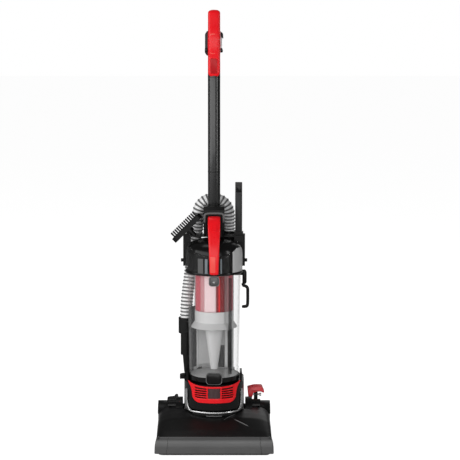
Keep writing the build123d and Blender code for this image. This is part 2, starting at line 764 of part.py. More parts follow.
finish(handle_grip, "handle_grip")

with BuildPart() as upper_cord_hook:
    with BuildSketch(Plane.XZ.offset(-69.4)):
        with BuildLine():
            Polyline((-24, 1006), (-18, 1000), (18, 1000), (24, 1006), (24, 1062), (18, 1068),
                     (-18, 1068), (-24, 1062), close=True)
        make_face()
    extrude(amount=-11)
    # the cord lies in the groove behind this plate
    box_between((-30, 30), (73, 81), (1012, 1056), Mode.SUBTRACT)
    box_between((-10, 10), (69.4, 80.4), (1011, 1057))
    box_between((-24, 24), (80.4, 84), (1004, 1012))
    box_between((-24, 24), (80.4, 84), (1056, 1064))
    with BuildSketch(Plane.XZ.offset(-60)):
        with Locations((0, 1034)):
            Circle(4 + fit)
    extrude(amount=-24.5, mode=Mode.SUBTRACT)
finish(upper_cord_hook, "upper_cord_hook")

# ---- dust cup ------------------------------------------------------------------------
cup_axis = Axis((0, cup_y, 0), (0, 0, 1))
cup_section = Plane.XZ.offset(-cup_y)

with BuildPart() as dust_cup:
    with BuildSketch(cup_section):
        with BuildLine():
            Polyline((cup_foot_radius, cup_bottom), (cup_radius, cup_top), (cup_radius - wall, cup_top),
                     (cup_foot_radius - wall, cup_bottom), close=True)
        make_face()
    revolve(axis=cup_axis)
finish(dust_cup, "dust_cup")

with BuildPart() as cup_door:
    rod_z(0, cup_y, door_radius, door_bottom, cup_bottom)
    fillet(cup_door.edges().filter_by(GeomType.CIRCLE).sort_by(Axis.Z)[0], radius=3)
    rod_z(0, cup_y, cup_foot_radius - 3, door_bottom + 3, cup_bottom, Mode.SUBTRACT)
finish(cup_door, "cup_door")


def dome(radius, top):
    """Filled lid shape: a straight band under a quarter-ellipse dome."""
    with BuildPart() as blank:
        with BuildSketch(cup_section):
            with BuildLine():
                Line((0, cup_top), (radius, cup_top))
                Line((radius, cup_top), (radius, lid_band_top))
                EllipticalCenterArc((0, lid_band_top), radius, top - lid_band_top, arc_size=90)
                Line((0, top), (0, cup_top))
            make_face()
        revolve(axis=cup_axis)
    return blank.part


lid_top = lid_band_top + lid_dome_height
with BuildPart() as cup_lid:
    add(dome(lid_radius, lid_top))
    add(dome(lid_radius - wall, lid_top - wall), mode=Mode.SUBTRACT)
    # ceiling that rests on the cup rim, and the seat of the carry handle
    rod_z(0, cup_y, lid_radius - 1, cup_top, cup_top + 3)
    rod_z(0, cup_y, 30, cup_top - 1, cup_top + 4, Mode.SUBTRACT)
    rod_z(0, 13, 8, 525, lid_top + 0.5)
    # clean air outlet at the rear
    box_between((-14, 14), (90, 120), (452, 478), Mode.SUBTRACT)
finish(cup_lid, "cup_lid")

button_plane = Plane(origin=(0, -31, 568), x_dir=(1, 0, 0), z_dir=(0, -0.8944, 0.4472))

with BuildPart() as carry_handle:
    handle_side = [(-53, 450), (-52.5, 480), (-50, 506), (-40, 550), (-22, 586), (-12, 594), (18, 594),
                   (18, lid_top + 0.5), (8, lid_top + 0.5), (8, 582), (-6, 582), (-14, 574),
                   (-28, 544), (-41.5, 508), (-43.4, 498), (-43.4, 450)]
    side_plate(handle_side, -16, 16)
    front_shape = [(-11.5, 440), (11.5, 440), (12, 480), (16, 590), (16, 600), (-16, 600), (-16, 590),
                   (-12, 480)]
    front_plate(front_shape, -80, 40, Mode.INTERSECT)
    with BuildSketch(button_plane):
        Rectangle(14, 18)
    extrude(amount=-5, mode=Mode.SUBTRACT)
finish(carry_handle, "carry_handle")

with BuildPart() as cup_release:
    with BuildSketch(button_plane.offset(1)):
        face = Rectangle(13, 17)
        fillet(face.vertices(), radius=2)
    extrude(amount=-3.4)
finish(cup_release, "cup_release")

with BuildPart() as shroud_screen:
    rod_z(0, cup_y, screen_radius, 347, cup_top - 2)
    rod_z(0, cup_y, screen_radius - 2, 347, cup_top - 2, Mode.SUBTRACT)
    rod_z(0, cup_y, cup_radius - wall - 0.3, cup_top - 2, cup_top)
    rod_z(0, cup_y, 30, cup_top - 3, cup_top + 1, Mode.SUBTRACT)
finish(shroud_screen, "shroud_screen")

with BuildPart() as shroud_skirt:
    with BuildSketch(cup_section):
        with BuildLine():
            Polyline((24, 345), (24, 347), (50.5, 347), (50.5, 318), (60, 303), (58, 302), (48.5, 316),
                     (48.5, 345), close=True)
        make_face()
    revolve(axis=cup_axis)
finish(shroud_skirt, "shroud_skirt")

with BuildPart() as cyclone_cone:
    with BuildSketch(cup_section):
        with BuildLine():
            Polyline((24, 344.9), (24, 300), (9, 190), (7, 190), (22, 300), (22, 344.9), close=True)
        make_face()
    revolve(axis=cup_axis)
finish(cyclone_cone, "cyclone_cone")

with BuildPart() as cup_filter:
    rod_z(0, cup_y, 38, 350, 440)
    rod_z(0, cup_y, 26, 350, 440, Mode.SUBTRACT)
finish(cup_filter, "cup_filter")

door_latch_back = cup_y - door_radius - 0.6
latch_hinge_z = 190

with BuildPart() as door_latch:
    with BuildSketch(Plane.XZ.offset(-door_latch_back)):
        with Locations((0, (163 + latch_hinge_z) / 2)):
            Rectangle(42, latch_hinge_z - 163)
    extrude(amount=6.5)
    # round hinge barrel along the top
    rod_x(door_latch_back - 3.25, latch_hinge_z, 3.25, -21, 21)
finish(door_latch, "door_latch")

lid_latch_back = cup_y - cup_radius - 0.8
lid_hinge_z = 443

with BuildPart() as lid_latch:
    with BuildSketch(Plane.XZ.offset(-lid_latch_back)):
        with Locations((0, (420 + lid_hinge_z) / 2)):
            plate = Rectangle(23, lid_hinge_z - 420)
        fillet(plate.vertices().group_by(Axis.Y)[0], radius=9)
    extrude(amount=6)
    rod_x(lid_latch_back - 3, lid_hinge_z, 2.6, -11.5, 11.5)
    with BuildSketch(Plane.XZ.offset(6 - lid_latch_back)):
        with Locations((0, 431)):
            Circle(3)
    extrude(amount=0.8)
finish(lid_latch, "lid_latch")

# ---- hose wand and stored tools ------------------------------------------------------
with BuildPart() as hose_wand:
    rod_z(wand_x, wand_y, 20.5, wand_shoulder, wand_top)
    fillet(hose_wand.edges().filter_by(GeomType.CIRCLE), radius=1.5)
    rod_z(wand_x, wand_y, 15, 216, wand_shoulder + 1)
    rod_z(wand_x, wand_y, 12.6, 215, wand_top + 1, Mode.SUBTRACT)
    rod_z(wand_x, wand_y, hose_radius + 0.3, 300, wand_top + 1, Mode.SUBTRACT)
finish(hose_wand, "hose_wand")

with BuildPart() as crevice_tool:
    tool_points = [(55.6, 524.4), (72.8, 524.4), (72.8, 550), (72, 668), (62, 680), (56.6, 680),
                   (55.6, 550)]
    front_plate(tool_points, 54.4, 69.6)
    fillet(crevice_tool.edges().filter_by(lambda e: e.length > 100), radius=4)
    box_between((57.6, 70.6), (56.4, 67.6), (520, 690), Mode.SUBTRACT)
finish(crevice_tool, "crevice_tool")

with BuildPart() as dusting_brush:
    with BuildSketch(peg_plane.offset(13.5)):
        Circle(11)
    extrude(amount=10)
    with BuildSketch(peg_plane.offset(22)):
        SlotOverall(98, 22)
    extrude(amount=13)
    with BuildSketch(peg_plane.offset(13)):
        Circle(peg_radius + gap)
    extrude(amount=12, mode=Mode.SUBTRACT)
finish(dusting_brush, "dusting_brush")

with BuildPart() as dusting_bristles:
    with BuildSketch(peg_plane.offset(35)):
        SlotOverall(94, 18)
        SlotOverall(82, 6, mode=Mode.SUBTRACT)
    extrude(amount=12)
finish(dusting_bristles, "dusting_bristles")

# ---- hose ----------------------------------------------------------------------------
# The hose runs from the wand up behind the lid, over the neck and down into its port.
hose_route = [
    (-73.5, 89, 300.2),
    (-73.5, 89, 343),
    (-68.5, 97, 392),
    (-62, 107, 440),
    (-56, 110, 489),
    (-47, 104, 533),
    (-42, 96, 571),
    (-41, 92, 603),
    (-26, 92, 624),
    (-1.5, 92, 631.5),
    (23, 92, 623.5),
    (38, 93, 602),
    (39, 98, 576),
    (38.5, 102, 552),
    (38.5, 102, 529.2),
]


def corner_radii(points):
    """Arc radius at each corner: as large as its shorter run allows."""
    radii = []
    for before, corner, after in zip(points, points[1:], points[2:]):
        run_in = Vector(*corner) - Vector(*before)
        run_out = Vector(*after) - Vector(*corner)
        half_turn = math.radians(run_in.get_angle(run_out)) / 2
        radii.append(0.45 * min(run_in.length, run_out.length) / math.tan(half_turn))
    return radii


hose_radii = corner_radii(hose_route)
print("hose arc radii", [round(radius) for radius in hose_radii])

with BuildPart() as hose:
    with BuildLine() as hose_line:
        FilletPolyline(*hose_route, radius=hose_radii)
    hose_path = hose_line.wires()[0]
    with BuildSketch(Plane(hose_path @ 0, z_dir=hose_path % 0)):
        Circle(hose_radius)
        Circle(hose_radius - 1.6, mode=Mode.SUBTRACT)
    sweep()
hose_length = hose_path.length
ring_area = math.pi * (hose_radius**2 - (hose_radius - 1.6) ** 2)
volume_ratio = hose.part.volume / (ring_area * hose_length)
print("hose length", round(hose_length, 1), "volume ratio", round(volume_ratio, 4))
finish(hose, "hose")
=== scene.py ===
import math
import bmesh
import bpy
import numpy as np
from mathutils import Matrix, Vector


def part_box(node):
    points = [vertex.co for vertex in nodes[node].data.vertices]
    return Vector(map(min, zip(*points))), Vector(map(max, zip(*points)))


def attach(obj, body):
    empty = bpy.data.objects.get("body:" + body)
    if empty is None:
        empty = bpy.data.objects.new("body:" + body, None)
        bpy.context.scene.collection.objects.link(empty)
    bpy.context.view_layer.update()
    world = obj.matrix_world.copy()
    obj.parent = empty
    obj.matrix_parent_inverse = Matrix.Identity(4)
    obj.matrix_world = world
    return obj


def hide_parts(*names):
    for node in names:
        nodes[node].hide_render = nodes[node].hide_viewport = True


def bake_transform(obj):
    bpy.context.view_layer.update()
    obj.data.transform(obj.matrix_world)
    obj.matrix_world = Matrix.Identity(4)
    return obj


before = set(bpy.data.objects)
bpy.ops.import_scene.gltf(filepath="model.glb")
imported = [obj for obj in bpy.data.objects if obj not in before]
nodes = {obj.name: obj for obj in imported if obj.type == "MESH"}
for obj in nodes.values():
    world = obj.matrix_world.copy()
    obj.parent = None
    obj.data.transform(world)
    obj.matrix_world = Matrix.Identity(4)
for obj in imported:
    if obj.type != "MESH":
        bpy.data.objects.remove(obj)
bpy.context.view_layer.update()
mm = 0.001
print("frame loaded,", len(nodes), "nodes")


# camera, lights and floor
view = {"x": 0.0, "y": -3.969, "z": 1.080, "pitchDown": 7.47, "lens": 122.04, "shift": 0.0346}
cameraData = bpy.data.cameras.new("camera")
cameraData.lens = view["lens"]
cameraData.sensor_width = 36
cameraData.shift_x = view["shift"]
cameraData.clip_end = 60
camera = bpy.data.objects.new("camera", cameraData)
camera.location = (view["x"], view["y"], view["z"])
camera.rotation_euler = (math.radians(90 - view["pitchDown"]), 0, 0)
bpy.context.scene.collection.objects.link(camera)
bpy.context.scene.camera = camera
bpy.context.scene.view_settings.view_transform = "Standard"
bpy.context.scene.cycles.transparent_max_bounces = 24

# one soft panel per row: place, what it looks at, width, height, power
softPanels = {
    "left": ((-2.75, -2.05, 1.25), (0, 0, 0.65), 3.2, 2.2, 66),
    "front": ((-0.10, -4.60, 1.30), (0, 0, 0.65), 4.6, 2.2, 92),
    "rightStrip": ((2.60, -1.50, 1.10), (0, 0, 0.60), 0.42, 2.0, 22),
    "leftStrip": ((-3.00, -0.32, 1.10), (0, 0, 0.60), 0.25, 2.0, 10),
    "overhead": ((-0.6, 0.4, 3.2), (0, 0, 0.5), 1.2, 1.2, 8),
    "back": ((0.8, 2.8, 1.6), (0, 0, 0.6), 1.8, 1.8, 7),
}


def addPanels():
    for name, (place, target, wide, tall, power) in softPanels.items():
        data = bpy.data.lights.new(name, "AREA")
        data.shape = "RECTANGLE"
        data.size, data.size_y = wide, tall
        data.energy = power
        lamp = bpy.data.objects.new(name, data)
        lamp.location = place
        aim = np.array(target) - np.array(place)
        flat = math.hypot(aim[0], aim[1])
        lamp.rotation_euler = (math.atan2(flat, -aim[2]), 0, math.atan2(aim[1], aim[0]) - math.pi / 2)
        bpy.context.scene.collection.objects.link(lamp)


# shader graphs
class Wire:
    # an output socket; arithmetic on it adds Math nodes
    def __init__(self, graph, socket):
        self.graph = graph
        self.socket = socket

    def maths(self, operation, first, second=0.0):
        return self.graph.add("Math", {"operation": operation}, [first, second])

    def __add__(self, other):
        return self.maths("ADD", self, other)

    def __radd__(self, other):
        return self.maths("ADD", other, self)

    def __sub__(self, other):
        return self.maths("SUBTRACT", self, other)

    def __rsub__(self, other):
        return self.maths("SUBTRACT", other, self)

    def __mul__(self, other):
        return self.maths("MULTIPLY", self, other)

    def __rmul__(self, other):
        return self.maths("MULTIPLY", other, self)

    def __truediv__(self, other):
        return self.maths("DIVIDE", self, other)

    def __pow__(self, other):
        return self.maths("POWER", self, other)


class Graph:
    # a material's node tree; add() makes any node and hands back one of its outputs
    def __init__(self, name):
        self.material = bpy.data.materials.new(name)
        self.material.use_nodes = True
        self.tree = self.material.node_tree
        self.tree.nodes.clear()

    def add(self, kind, settings=None, values=None, out=0):
        node = self.tree.nodes.new("ShaderNode" + kind)
        for key, value in (settings or {}).items():
            setattr(node, key, value)
        pairs = values.items() if isinstance(values, dict) else enumerate(values or [])
        for key, value in pairs:
            if isinstance(value, Wire):
                self.tree.links.new(value.socket, node.inputs[key])
            else:
                node.inputs[key].default_value = value
        return Wire(self, node.outputs[out]) if node.outputs else node

    def blendColour(self, share, first, second):
        return self.add("Mix", {"data_type": "RGBA"}, {0: share, 6: first, 7: second}, out=2)

    def place(self):
        return self.add("TexCoord", out="Object")

    def noise(self, scale, detail=2.0, vector=None):
        values = {"Vector": vector or self.place(), "Scale": scale, "Detail": detail}
        return self.add("TexNoise", {}, values)

    def show(self, shader):
        self.add("OutputMaterial", {}, {"Surface": shader})
        return self.material


def grey(level):
    return (level, level, level, 1.0)


def shade(colour, factor):
    return tuple(channel * factor for channel in colour[:3]) + (1.0,)


# moulded plastic: broad patches tint it, fine grain roughens and dimples it
def moulded(name, colour, rough, grain=900, dimple=0.00006, vary=0.18, coat=0.0, metal=0.0, specular=0.5):
    graph = Graph(name)
    patches = graph.noise(14, 3)
    fine = graph.noise(grain, 2)
    smudges = graph.noise(60, 4)
    tint = graph.blendColour(patches, shade(colour, 1 - vary), shade(colour, 1 + vary))
    roughness = rough + (smudges - 0.5) * (0.35 * rough) + (fine - 0.5) * 0.06
    bump = graph.add("Bump", {}, {"Strength": 0.5, "Distance": dimple, "Height": fine})
    values = {"Base Color": tint, "Roughness": roughness, "Normal": bump, "Metallic": metal}
    values |= {"Coat Weight": coat, "Coat Roughness": 0.08, "Specular IOR Level": specular}
    return graph.show(graph.add("BsdfPrincipled", {}, values))


# clear moulding: see-through, with a mirror skin that grows towards its edges and faint flow marks
def clearMoulding(name, tint, haze, edge, surface, rough=0.06):
    graph = Graph(name)
    facing = graph.add("LayerWeight", {}, {"Blend": 0.5}, out="Facing")
    flow = graph.noise(9, 2)
    share = haze + (flow - 0.5) * (0.5 * haze) + facing**5 * edge
    fine = graph.noise(420, 2)
    bump = graph.add("Bump", {}, {"Strength": 0.15, "Distance": 0.00003, "Height": fine})
    values = {"Base Color": surface, "Roughness": rough, "Normal": bump}
    skin = graph.add("BsdfPrincipled", {}, values)
    through = graph.add("BsdfTransparent", {}, {"Color": tint})
    return graph.show(graph.add("MixShader", {}, {0: share, 1: through, 2: skin}))


# corrugated hose: a dark wire rib once per turn on pale film, worked out from the distance along the hose
def hoseMaterial(name, film, wire, ribShare):
    graph = Graph(name)
    turns = graph.add("Attribute", {"attribute_name": "turns"}, out="Fac")
    phase = graph.add("Math", {"operation": "FRACT"}, [turns])
    middle = graph.add("Math", {"operation": "ABSOLUTE"}, [phase - 0.5])
    settings = {"interpolation_type": "SMOOTHSTEP"}
    band = graph.add("MapRange", settings, {0: middle, 1: ribShare * 0.5, 2: ribShare * 1.6, 3: 1.0, 4: 0.0})
    dust = graph.noise(70, 3)
    filmColour = graph.blendColour(dust, shade(film, 0.93), shade(film, 1.05))
    colour = graph.blendColour(band, filmColour, wire)
    bump = graph.add("Bump", {}, {"Strength": 0.3, "Distance": 0.0001, "Height": graph.noise(500, 2)})
    values = {"Base Color": colour, "Roughness": 0.32 + dust * 0.12, "Normal": bump}
    return graph.show(graph.add("BsdfPrincipled", {}, values))


# pleated felt or bristle: streaks along one axis, from noise stretched that way
def streaked(name, dark, light, stretch, rough=0.85):
    graph = Graph(name)
    mapped = graph.add("Mapping", {}, {"Vector": graph.place(), "Scale": stretch})
    streaks = graph.noise(1.0, 4, mapped)
    colour = graph.blendColour(streaks, dark, light)
    bump = graph.add("Bump", {}, {"Strength": 0.6, "Distance": 0.0003, "Height": streaks})
    values = {"Base Color": colour, "Roughness": rough, "Normal": bump, "Specular IOR Level": 0.25}
    return graph.show(graph.add("BsdfPrincipled", {}, values))


red = (0.82, 0.008, 0.014, 1.0)
finishes = {
    "glossBlack": moulded("glossBlack", grey(0.005), 0.20, specular=0.22),
    "tubeBlack": moulded("tubeBlack", grey(0.007), 0.24, coat=0.2, specular=0.45),
    "satinBlack": moulded("satinBlack", grey(0.006), 0.38, specular=0.18),
    "headBlack": moulded("headBlack", grey(0.006), 0.34, grain=1100, specular=0.22),
    "bandGrey": moulded("bandGrey", grey(0.075), 0.36, specular=0.5),
    "darkGrey": moulded("darkGrey", grey(0.016), 0.42, specular=0.3),
    "midGrey": moulded("midGrey", grey(0.16), 0.40),
    "cradleGrey": moulded("cradleGrey", grey(0.46), 0.30, vary=0.10),
    "redPlastic": moulded("redPlastic", red, 0.28, vary=0.08, coat=0.08, specular=0.22),
    # next two finishes: a darker red for painted shade on the grip's lower face, and a paler red for painted
    # highlights on the grip and the carry handle
    "redShadePaint": moulded("redShadePaint", (0.44, 0.004, 0.008, 1.0), 0.34, vary=0.10, specular=0.2),
    "redHighlightPaint": moulded("redHighlightPaint", (0.90, 0.085, 0.070, 1.0), 0.30, vary=0.06, specular=0.3),
    # dark red for a painted reflection stripe where it crosses the shroud
    "reflectionStripeRed": moulded("reflectionStripeRed", (0.16, 0.004, 0.008, 1.0), 0.28),
    "badge": moulded("badge", (0.045, 0.016, 0.018, 1.0), 0.45, grain=500, dimple=0.0002, vary=0.5),
    "redPedal": moulded("redPedal", (0.78, 0.035, 0.050, 1.0), 0.38, vary=0.12),
    "silverTrim": moulded("silverTrim", grey(0.55), 0.27, metal=0.85, vary=0.06),
    "steel": moulded("steel", grey(0.50), 0.32, metal=1.0, grain=2400, vary=0.10),
    "skirtGrey": moulded("skirtGrey", grey(0.80), 0.22, metal=0.30, vary=0.05),
    "grooveGrey": moulded("grooveGrey", (0.16, 0.19, 0.21, 1.0), 0.35),
    "paleGrey": moulded("paleGrey", grey(0.68), 0.30, vary=0.06),
    # next two: pale pink for a painted highlight on the shroud, and pale white for painted highlight lines
    # behind the cup
    "highlightPink": moulded("highlightPink", (0.96, 0.72, 0.74, 1.0), 0.30, vary=0.08),
    "highlightWhite": moulded("highlightWhite", grey(0.90), 0.25, vary=0.03),
    "rubber": moulded("rubber", grey(0.014), 0.62, grain=1500, dimple=0.00012, specular=0.3),
    "clearCup": clearMoulding("clearCup", grey(0.975), 0.035, 0.45, grey(0.60)),
    "smokeRing": clearMoulding("smokeRing", grey(0.88), 0.09, 0.40, grey(0.10)),
    "redClear": clearMoulding("redClear", (0.99, 0.84, 0.86, 1.0), 0.34, 0.55, (0.97, 0.58, 0.60, 1.0), 0.2),
    # light grey frosted clear, used as a painted reflection on the right of the lid
    "reflectionFrost": clearMoulding("reflectionFrost", grey(0.92), 0.60, 0.30, grey(0.66), 0.35),
    # dark clear sheet for a painted reflection stripe on the cup wall
    "reflectionStripeDark": clearMoulding("reflectionStripeDark", grey(0.50), 0.10, 0.10, grey(0.02)),
    "finPink": clearMoulding("finPink", (0.98, 0.62, 0.68, 1.0), 0.20, 0.20, (0.92, 0.36, 0.42, 1.0)),
    "finRed": clearMoulding("finRed", (0.60, 0.05, 0.08, 1.0), 0.72, 0.20, (0.34, 0.004, 0.01, 1.0)),
    "hose": hoseMaterial("hose", grey(0.90), grey(0.11), 0.21),
    "bristle": streaked("bristle", grey(0.006), grey(0.030), (900, 900, 60)),
    "felt": streaked("felt", grey(0.60), grey(0.80), (320, 320, 12)),
    "charcoalFelt": streaked("charcoalFelt", grey(0.012), grey(0.040), (300, 300, 40)),
}
print("materials made,", len(finishes))


# shapes worked out as whole arrays
# every corner of an outline becomes the curve (1-t)^2 a + 2t(1-t) corner + t^2 b, where a and b lie
# reach away from the corner on its two sides
def roundedOutline(corners, reach, steps=6, closed=True):
    corners = np.array(corners, float)
    before = np.roll(corners, 1, axis=0) - corners
    after = np.roll(corners, -1, axis=0) - corners
    lengths = np.minimum(np.linalg.norm(before, axis=1), np.linalg.norm(after, axis=1))
    limit = np.minimum(np.broadcast_to(np.array(reach, float), lengths.shape), 0.48 * lengths)[:, None]
    a = corners + before / np.linalg.norm(before, axis=1)[:, None] * limit
    b = corners + after / np.linalg.norm(after, axis=1)[:, None] * limit
    t = np.linspace(0, 1, steps)[None, :, None]
    curve = (1 - t) ** 2 * a[:, None] + 2 * t * (1 - t) * corners[:, None] + t**2 * b[:, None]
    if closed:
        return curve.reshape(-1, corners.shape[1])
    return np.concatenate((corners[:1], curve[1:-1].reshape(-1, corners.shape[1]), corners[-1:]))


# a smooth line through points: cubic pieces h00 p0 + h10 m0 + h01 p1 + h11 m1, where each tangent m is
# half of what joins the two neighbours
def smoothLine(points, count):
    points = np.array(points, float)
    tangents = np.gradient(points, axis=0)
    at = np.linspace(0, len(points) - 1, count)
    i = np.minimum(at.astype(int), len(points) - 2)
    t = (at - i)[:, None]
    h00, h10 = 2 * t**3 - 3 * t**2 + 1, t**3 - 2 * t**2 + t
    h01, h11 = 3 * t**2 - 2 * t**3, t**3 - t**2
    return h00 * points[i] + h10 * tangents[i] + h01 * points[i + 1] + h11 * tangents[i + 1]


# the line again with its points evenly spaced
def evenly(line, count):
    steps = np.linalg.norm(np.diff(line, axis=0), axis=1)
    along = np.concatenate(([0], np.cumsum(steps)))
    at = np.linspace(0, along[-1], count)
    return np.stack([np.interp(at, along, line[:, k]) for k in range(line.shape[1])], axis=1)


# unit direction of a line at each of its points
def directions(line):
    ahead = np.gradient(line, axis=0)
    return ahead / np.linalg.norm(ahead, axis=1)[:, None]


def gridFaces(rows, columns, wrapRows, wrapColumns, keep=None):
    index = np.arange(rows * columns).reshape(rows, columns)
    if wrapRows:
        index = np.concatenate((index, index[:1]))
    if wrapColumns:
        index = np.concatenate((index, index[:, :1]), axis=1)
    quads = np.stack((index[:-1, :-1], index[:-1, 1:], index[1:, 1:], index[1:, :-1]), axis=-1)
    if keep is not None:
        quads = quads[keep]
    return quads.reshape(-1, 4).tolist()


def addPiece(name, points, faces, finish, body, replaced=(), slot=None, sharp=32, outFrom=None):
    mesh = bpy.data.meshes.new(name)
    mesh.from_pydata(np.asarray(points, float).reshape(-1, 3).tolist(), [], faces)
    work = bmesh.new()
    work.from_mesh(mesh)
    bmesh.ops.remove_doubles(work, verts=work.verts, dist=1e-6)
    loose = [v for v in work.verts if not v.link_faces]
    bmesh.ops.delete(work, geom=loose, context="VERTS")
    bmesh.ops.recalc_face_normals(work, faces=work.faces)
    if outFrom is not None:   # an open sheet: turn it so that it faces away from this point
        facing = sum((f.calc_center_median() - type(f.normal)(outFrom)).dot(f.normal) for f in work.faces)
        if facing < 0:
            bmesh.ops.reverse_faces(work, faces=work.faces)
    work.to_mesh(mesh)
    work.free()
    mesh.shade_smooth()
    mesh.set_sharp_from_angle(angle=math.radians(sharp))
    mesh.materials.append(finishes[finish])
    piece = bpy.data.objects.new(name, mesh)
    bpy.context.scene.collection.objects.link(piece)
    if body:
        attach(piece, body)
    if replaced:
        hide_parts(*replaced)
    return piece


# a closed body from rings (rows, columns, 3): neighbouring rings are joined and the end rings are filled
def ringBody(name, rings, finish, body, **more):
    rings = np.asarray(rings, float)
    rows, columns = rings.shape[:2]
    faces = gridFaces(rows, columns, False, True)
    faces += [list(range(columns)), list(range((rows - 1) * columns, rows * columns))]
    return addPiece(name, rings, faces, finish, body, **more)


# superellipse rings: middle + side a |cos|^(2/n) + up b |sin|^(2/n), both with the sign of cos and sin
def superRings(middles, sides, ups, a, b, power, columns=40):
    t = np.linspace(0, 2 * math.pi, columns, endpoint=False)[None, :]
    exponent = 2 / np.asarray(power, float).reshape(-1, 1)
    across = np.sign(np.cos(t)) * np.abs(np.cos(t)) ** exponent * np.asarray(a, float).reshape(-1, 1)
    upward = np.sign(np.sin(t)) * np.abs(np.sin(t)) ** exponent * np.asarray(b, float).reshape(-1, 1)
    sides = np.broadcast_to(np.asarray(sides, float), middles.shape)
    ups = np.broadcast_to(np.asarray(ups, float), middles.shape)
    return middles[:, None] + across[..., None] * sides[:, None] + upward[..., None] * ups[:, None]


# share of full size along a body with rounded ends: (1 - |2s - 1|^p)^(1/p)
def endRound(s, p):
    return (1 - np.abs(2 * s - 1) ** p).clip(0) ** (1 / p)


# steps along a body, crowded towards both ends: (1 - cos(pi k)) / 2
def crowded(count):
    return (1 - np.cos(math.pi * np.linspace(0, 1, count))) / 2


# a plate: its outline (u, v) is carried along w from low to high, drawn in by the bevel at both faces
def plateBody(name, outline, origin, u, v, w, low, high, bevel, finish, body, **more):
    outline = np.asarray(outline, float)
    ahead = np.roll(outline, -1, axis=0) - np.roll(outline, 1, axis=0)
    area = np.sum(outline[:, 0] * np.roll(outline[:, 1], -1) - np.roll(outline[:, 0], -1) * outline[:, 1])
    normal = np.stack((ahead[:, 1], -ahead[:, 0]), axis=1) * np.sign(area)
    normal = normal / np.linalg.norm(normal, axis=1)[:, None].clip(1e-12)
    rings = []
    for inset, height in ((1, low), (0.3, low + 0.3 * bevel), (0, low + bevel),
                          (0, high - bevel), (0.3, high - 0.3 * bevel), (1, high)):
        flat = outline - normal * bevel * inset
        ring = np.array(origin) + flat[:, :1] * np.array(u) + flat[:, 1:] * np.array(v)
        rings.append(ring + height * np.array(w))
    return ringBody(name, rings, finish, body, **more)


# a closed (radius, height) profile turned about the upright line x = 0, y = axisY; angle 0 is the front
def turnedBody(name, profile, axisY, finish, body, start=-180.0, end=180.0, columns=96, **more):
    full = end - start >= 360
    angle = np.radians(np.linspace(start, end, columns, endpoint=not full))[None, :]
    profile = np.asarray(profile, float)
    r, z = profile[:, :1], profile[:, 1:]
    points = np.stack((r * np.sin(angle), axisY - r * np.cos(angle), z + 0 * angle), axis=-1)
    if full:
        faces = gridFaces(len(profile), columns, True, True)
        return addPiece(name, points, faces, finish, body, **more)
    return ringBody(name, points.transpose(1, 0, 2), finish, body, **more)


# plate directions for a plate that faces the front
facingFront = {"u": (1, 0, 0), "v": (0, 0, 1), "w": (0, 1, 0)}


# an open sheet given as (angle, radius, height) about the cup's axis; thickness goes inwards
def shellPiece(name, angle, radius, height, axisY, thick, finish, body, keep=None, bevel=0.0, **more):
    angle, radius, height = np.broadcast_arrays(angle, radius, height)
    points = np.stack((radius * np.sin(angle), axisY - radius * np.cos(angle), height), axis=-1)
    faces = gridFaces(points.shape[0], points.shape[1], False, False, keep)
    inside = (0, axisY, float(height.mean()))
    piece = addPiece(name, points, faces, finish, body, outFrom=inside, **more)
    thicken(piece, thick, bevel)
    return piece


def thicken(piece, thick, bevel=0.0):
    solid = piece.modifiers.new("thickness", "SOLIDIFY")
    solid.thickness = thick
    solid.offset = -1
    if bevel:
        edge = piece.modifiers.new("edge", "BEVEL")
        edge.width = bevel
        edge.segments = 2
        edge.limit_method = "ANGLE"
        edge.angle_limit = math.radians(50)


def low(node):
    return np.array(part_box(node)[0])


def high(node):
    return np.array(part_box(node)[1])


# hose, first of the pieces
hoseLook = {"diameter": 0.033, "length": 0.48, "turnLength": 0.0089, "ringsPerTurn": 10, "columns": 36,
            "wireHeight": 0.0004, "filmDip": 0.0016}
hoseRoute = [
    (-0.0735, 0.089, 0.3002), (-0.0735, 0.089, 0.343), (-0.0685, 0.097, 0.392), (-0.062, 0.107, 0.440),
    (-0.056, 0.110, 0.489), (-0.047, 0.104, 0.533), (-0.042, 0.096, 0.571), (-0.041, 0.092, 0.603),
    (-0.026, 0.092, 0.624), (-0.0015, 0.092, 0.6315), (0.023, 0.092, 0.6235), (0.038, 0.093, 0.602),
    (0.039, 0.098, 0.576), (0.0385, 0.102, 0.552), (0.0385, 0.102, 0.5292),
]


# the smooth line of a route: a NURBS spline with the route's points as its control points
def splineLine(name, route):
    data = bpy.data.curves.new(name, "CURVE")
    data.dimensions = "3D"
    data.resolution_u = 24
    spline = data.splines.new("NURBS")
    spline.points.add(len(route) - 1)
    spline.points.foreach_set("co", np.column_stack((route, np.ones(len(route)))).ravel())
    spline.order_u = 3
    spline.use_endpoint_u = True
    holder = bpy.data.objects.new(name, data)
    mesh = bpy.data.meshes.new_from_object(holder)
    line = np.empty(len(mesh.vertices) * 3)
    mesh.vertices.foreach_get("co", line)
    bpy.data.objects.remove(holder)
    bpy.data.meshes.remove(mesh)
    bpy.data.curves.remove(data)
    return line.reshape(-1, 3)


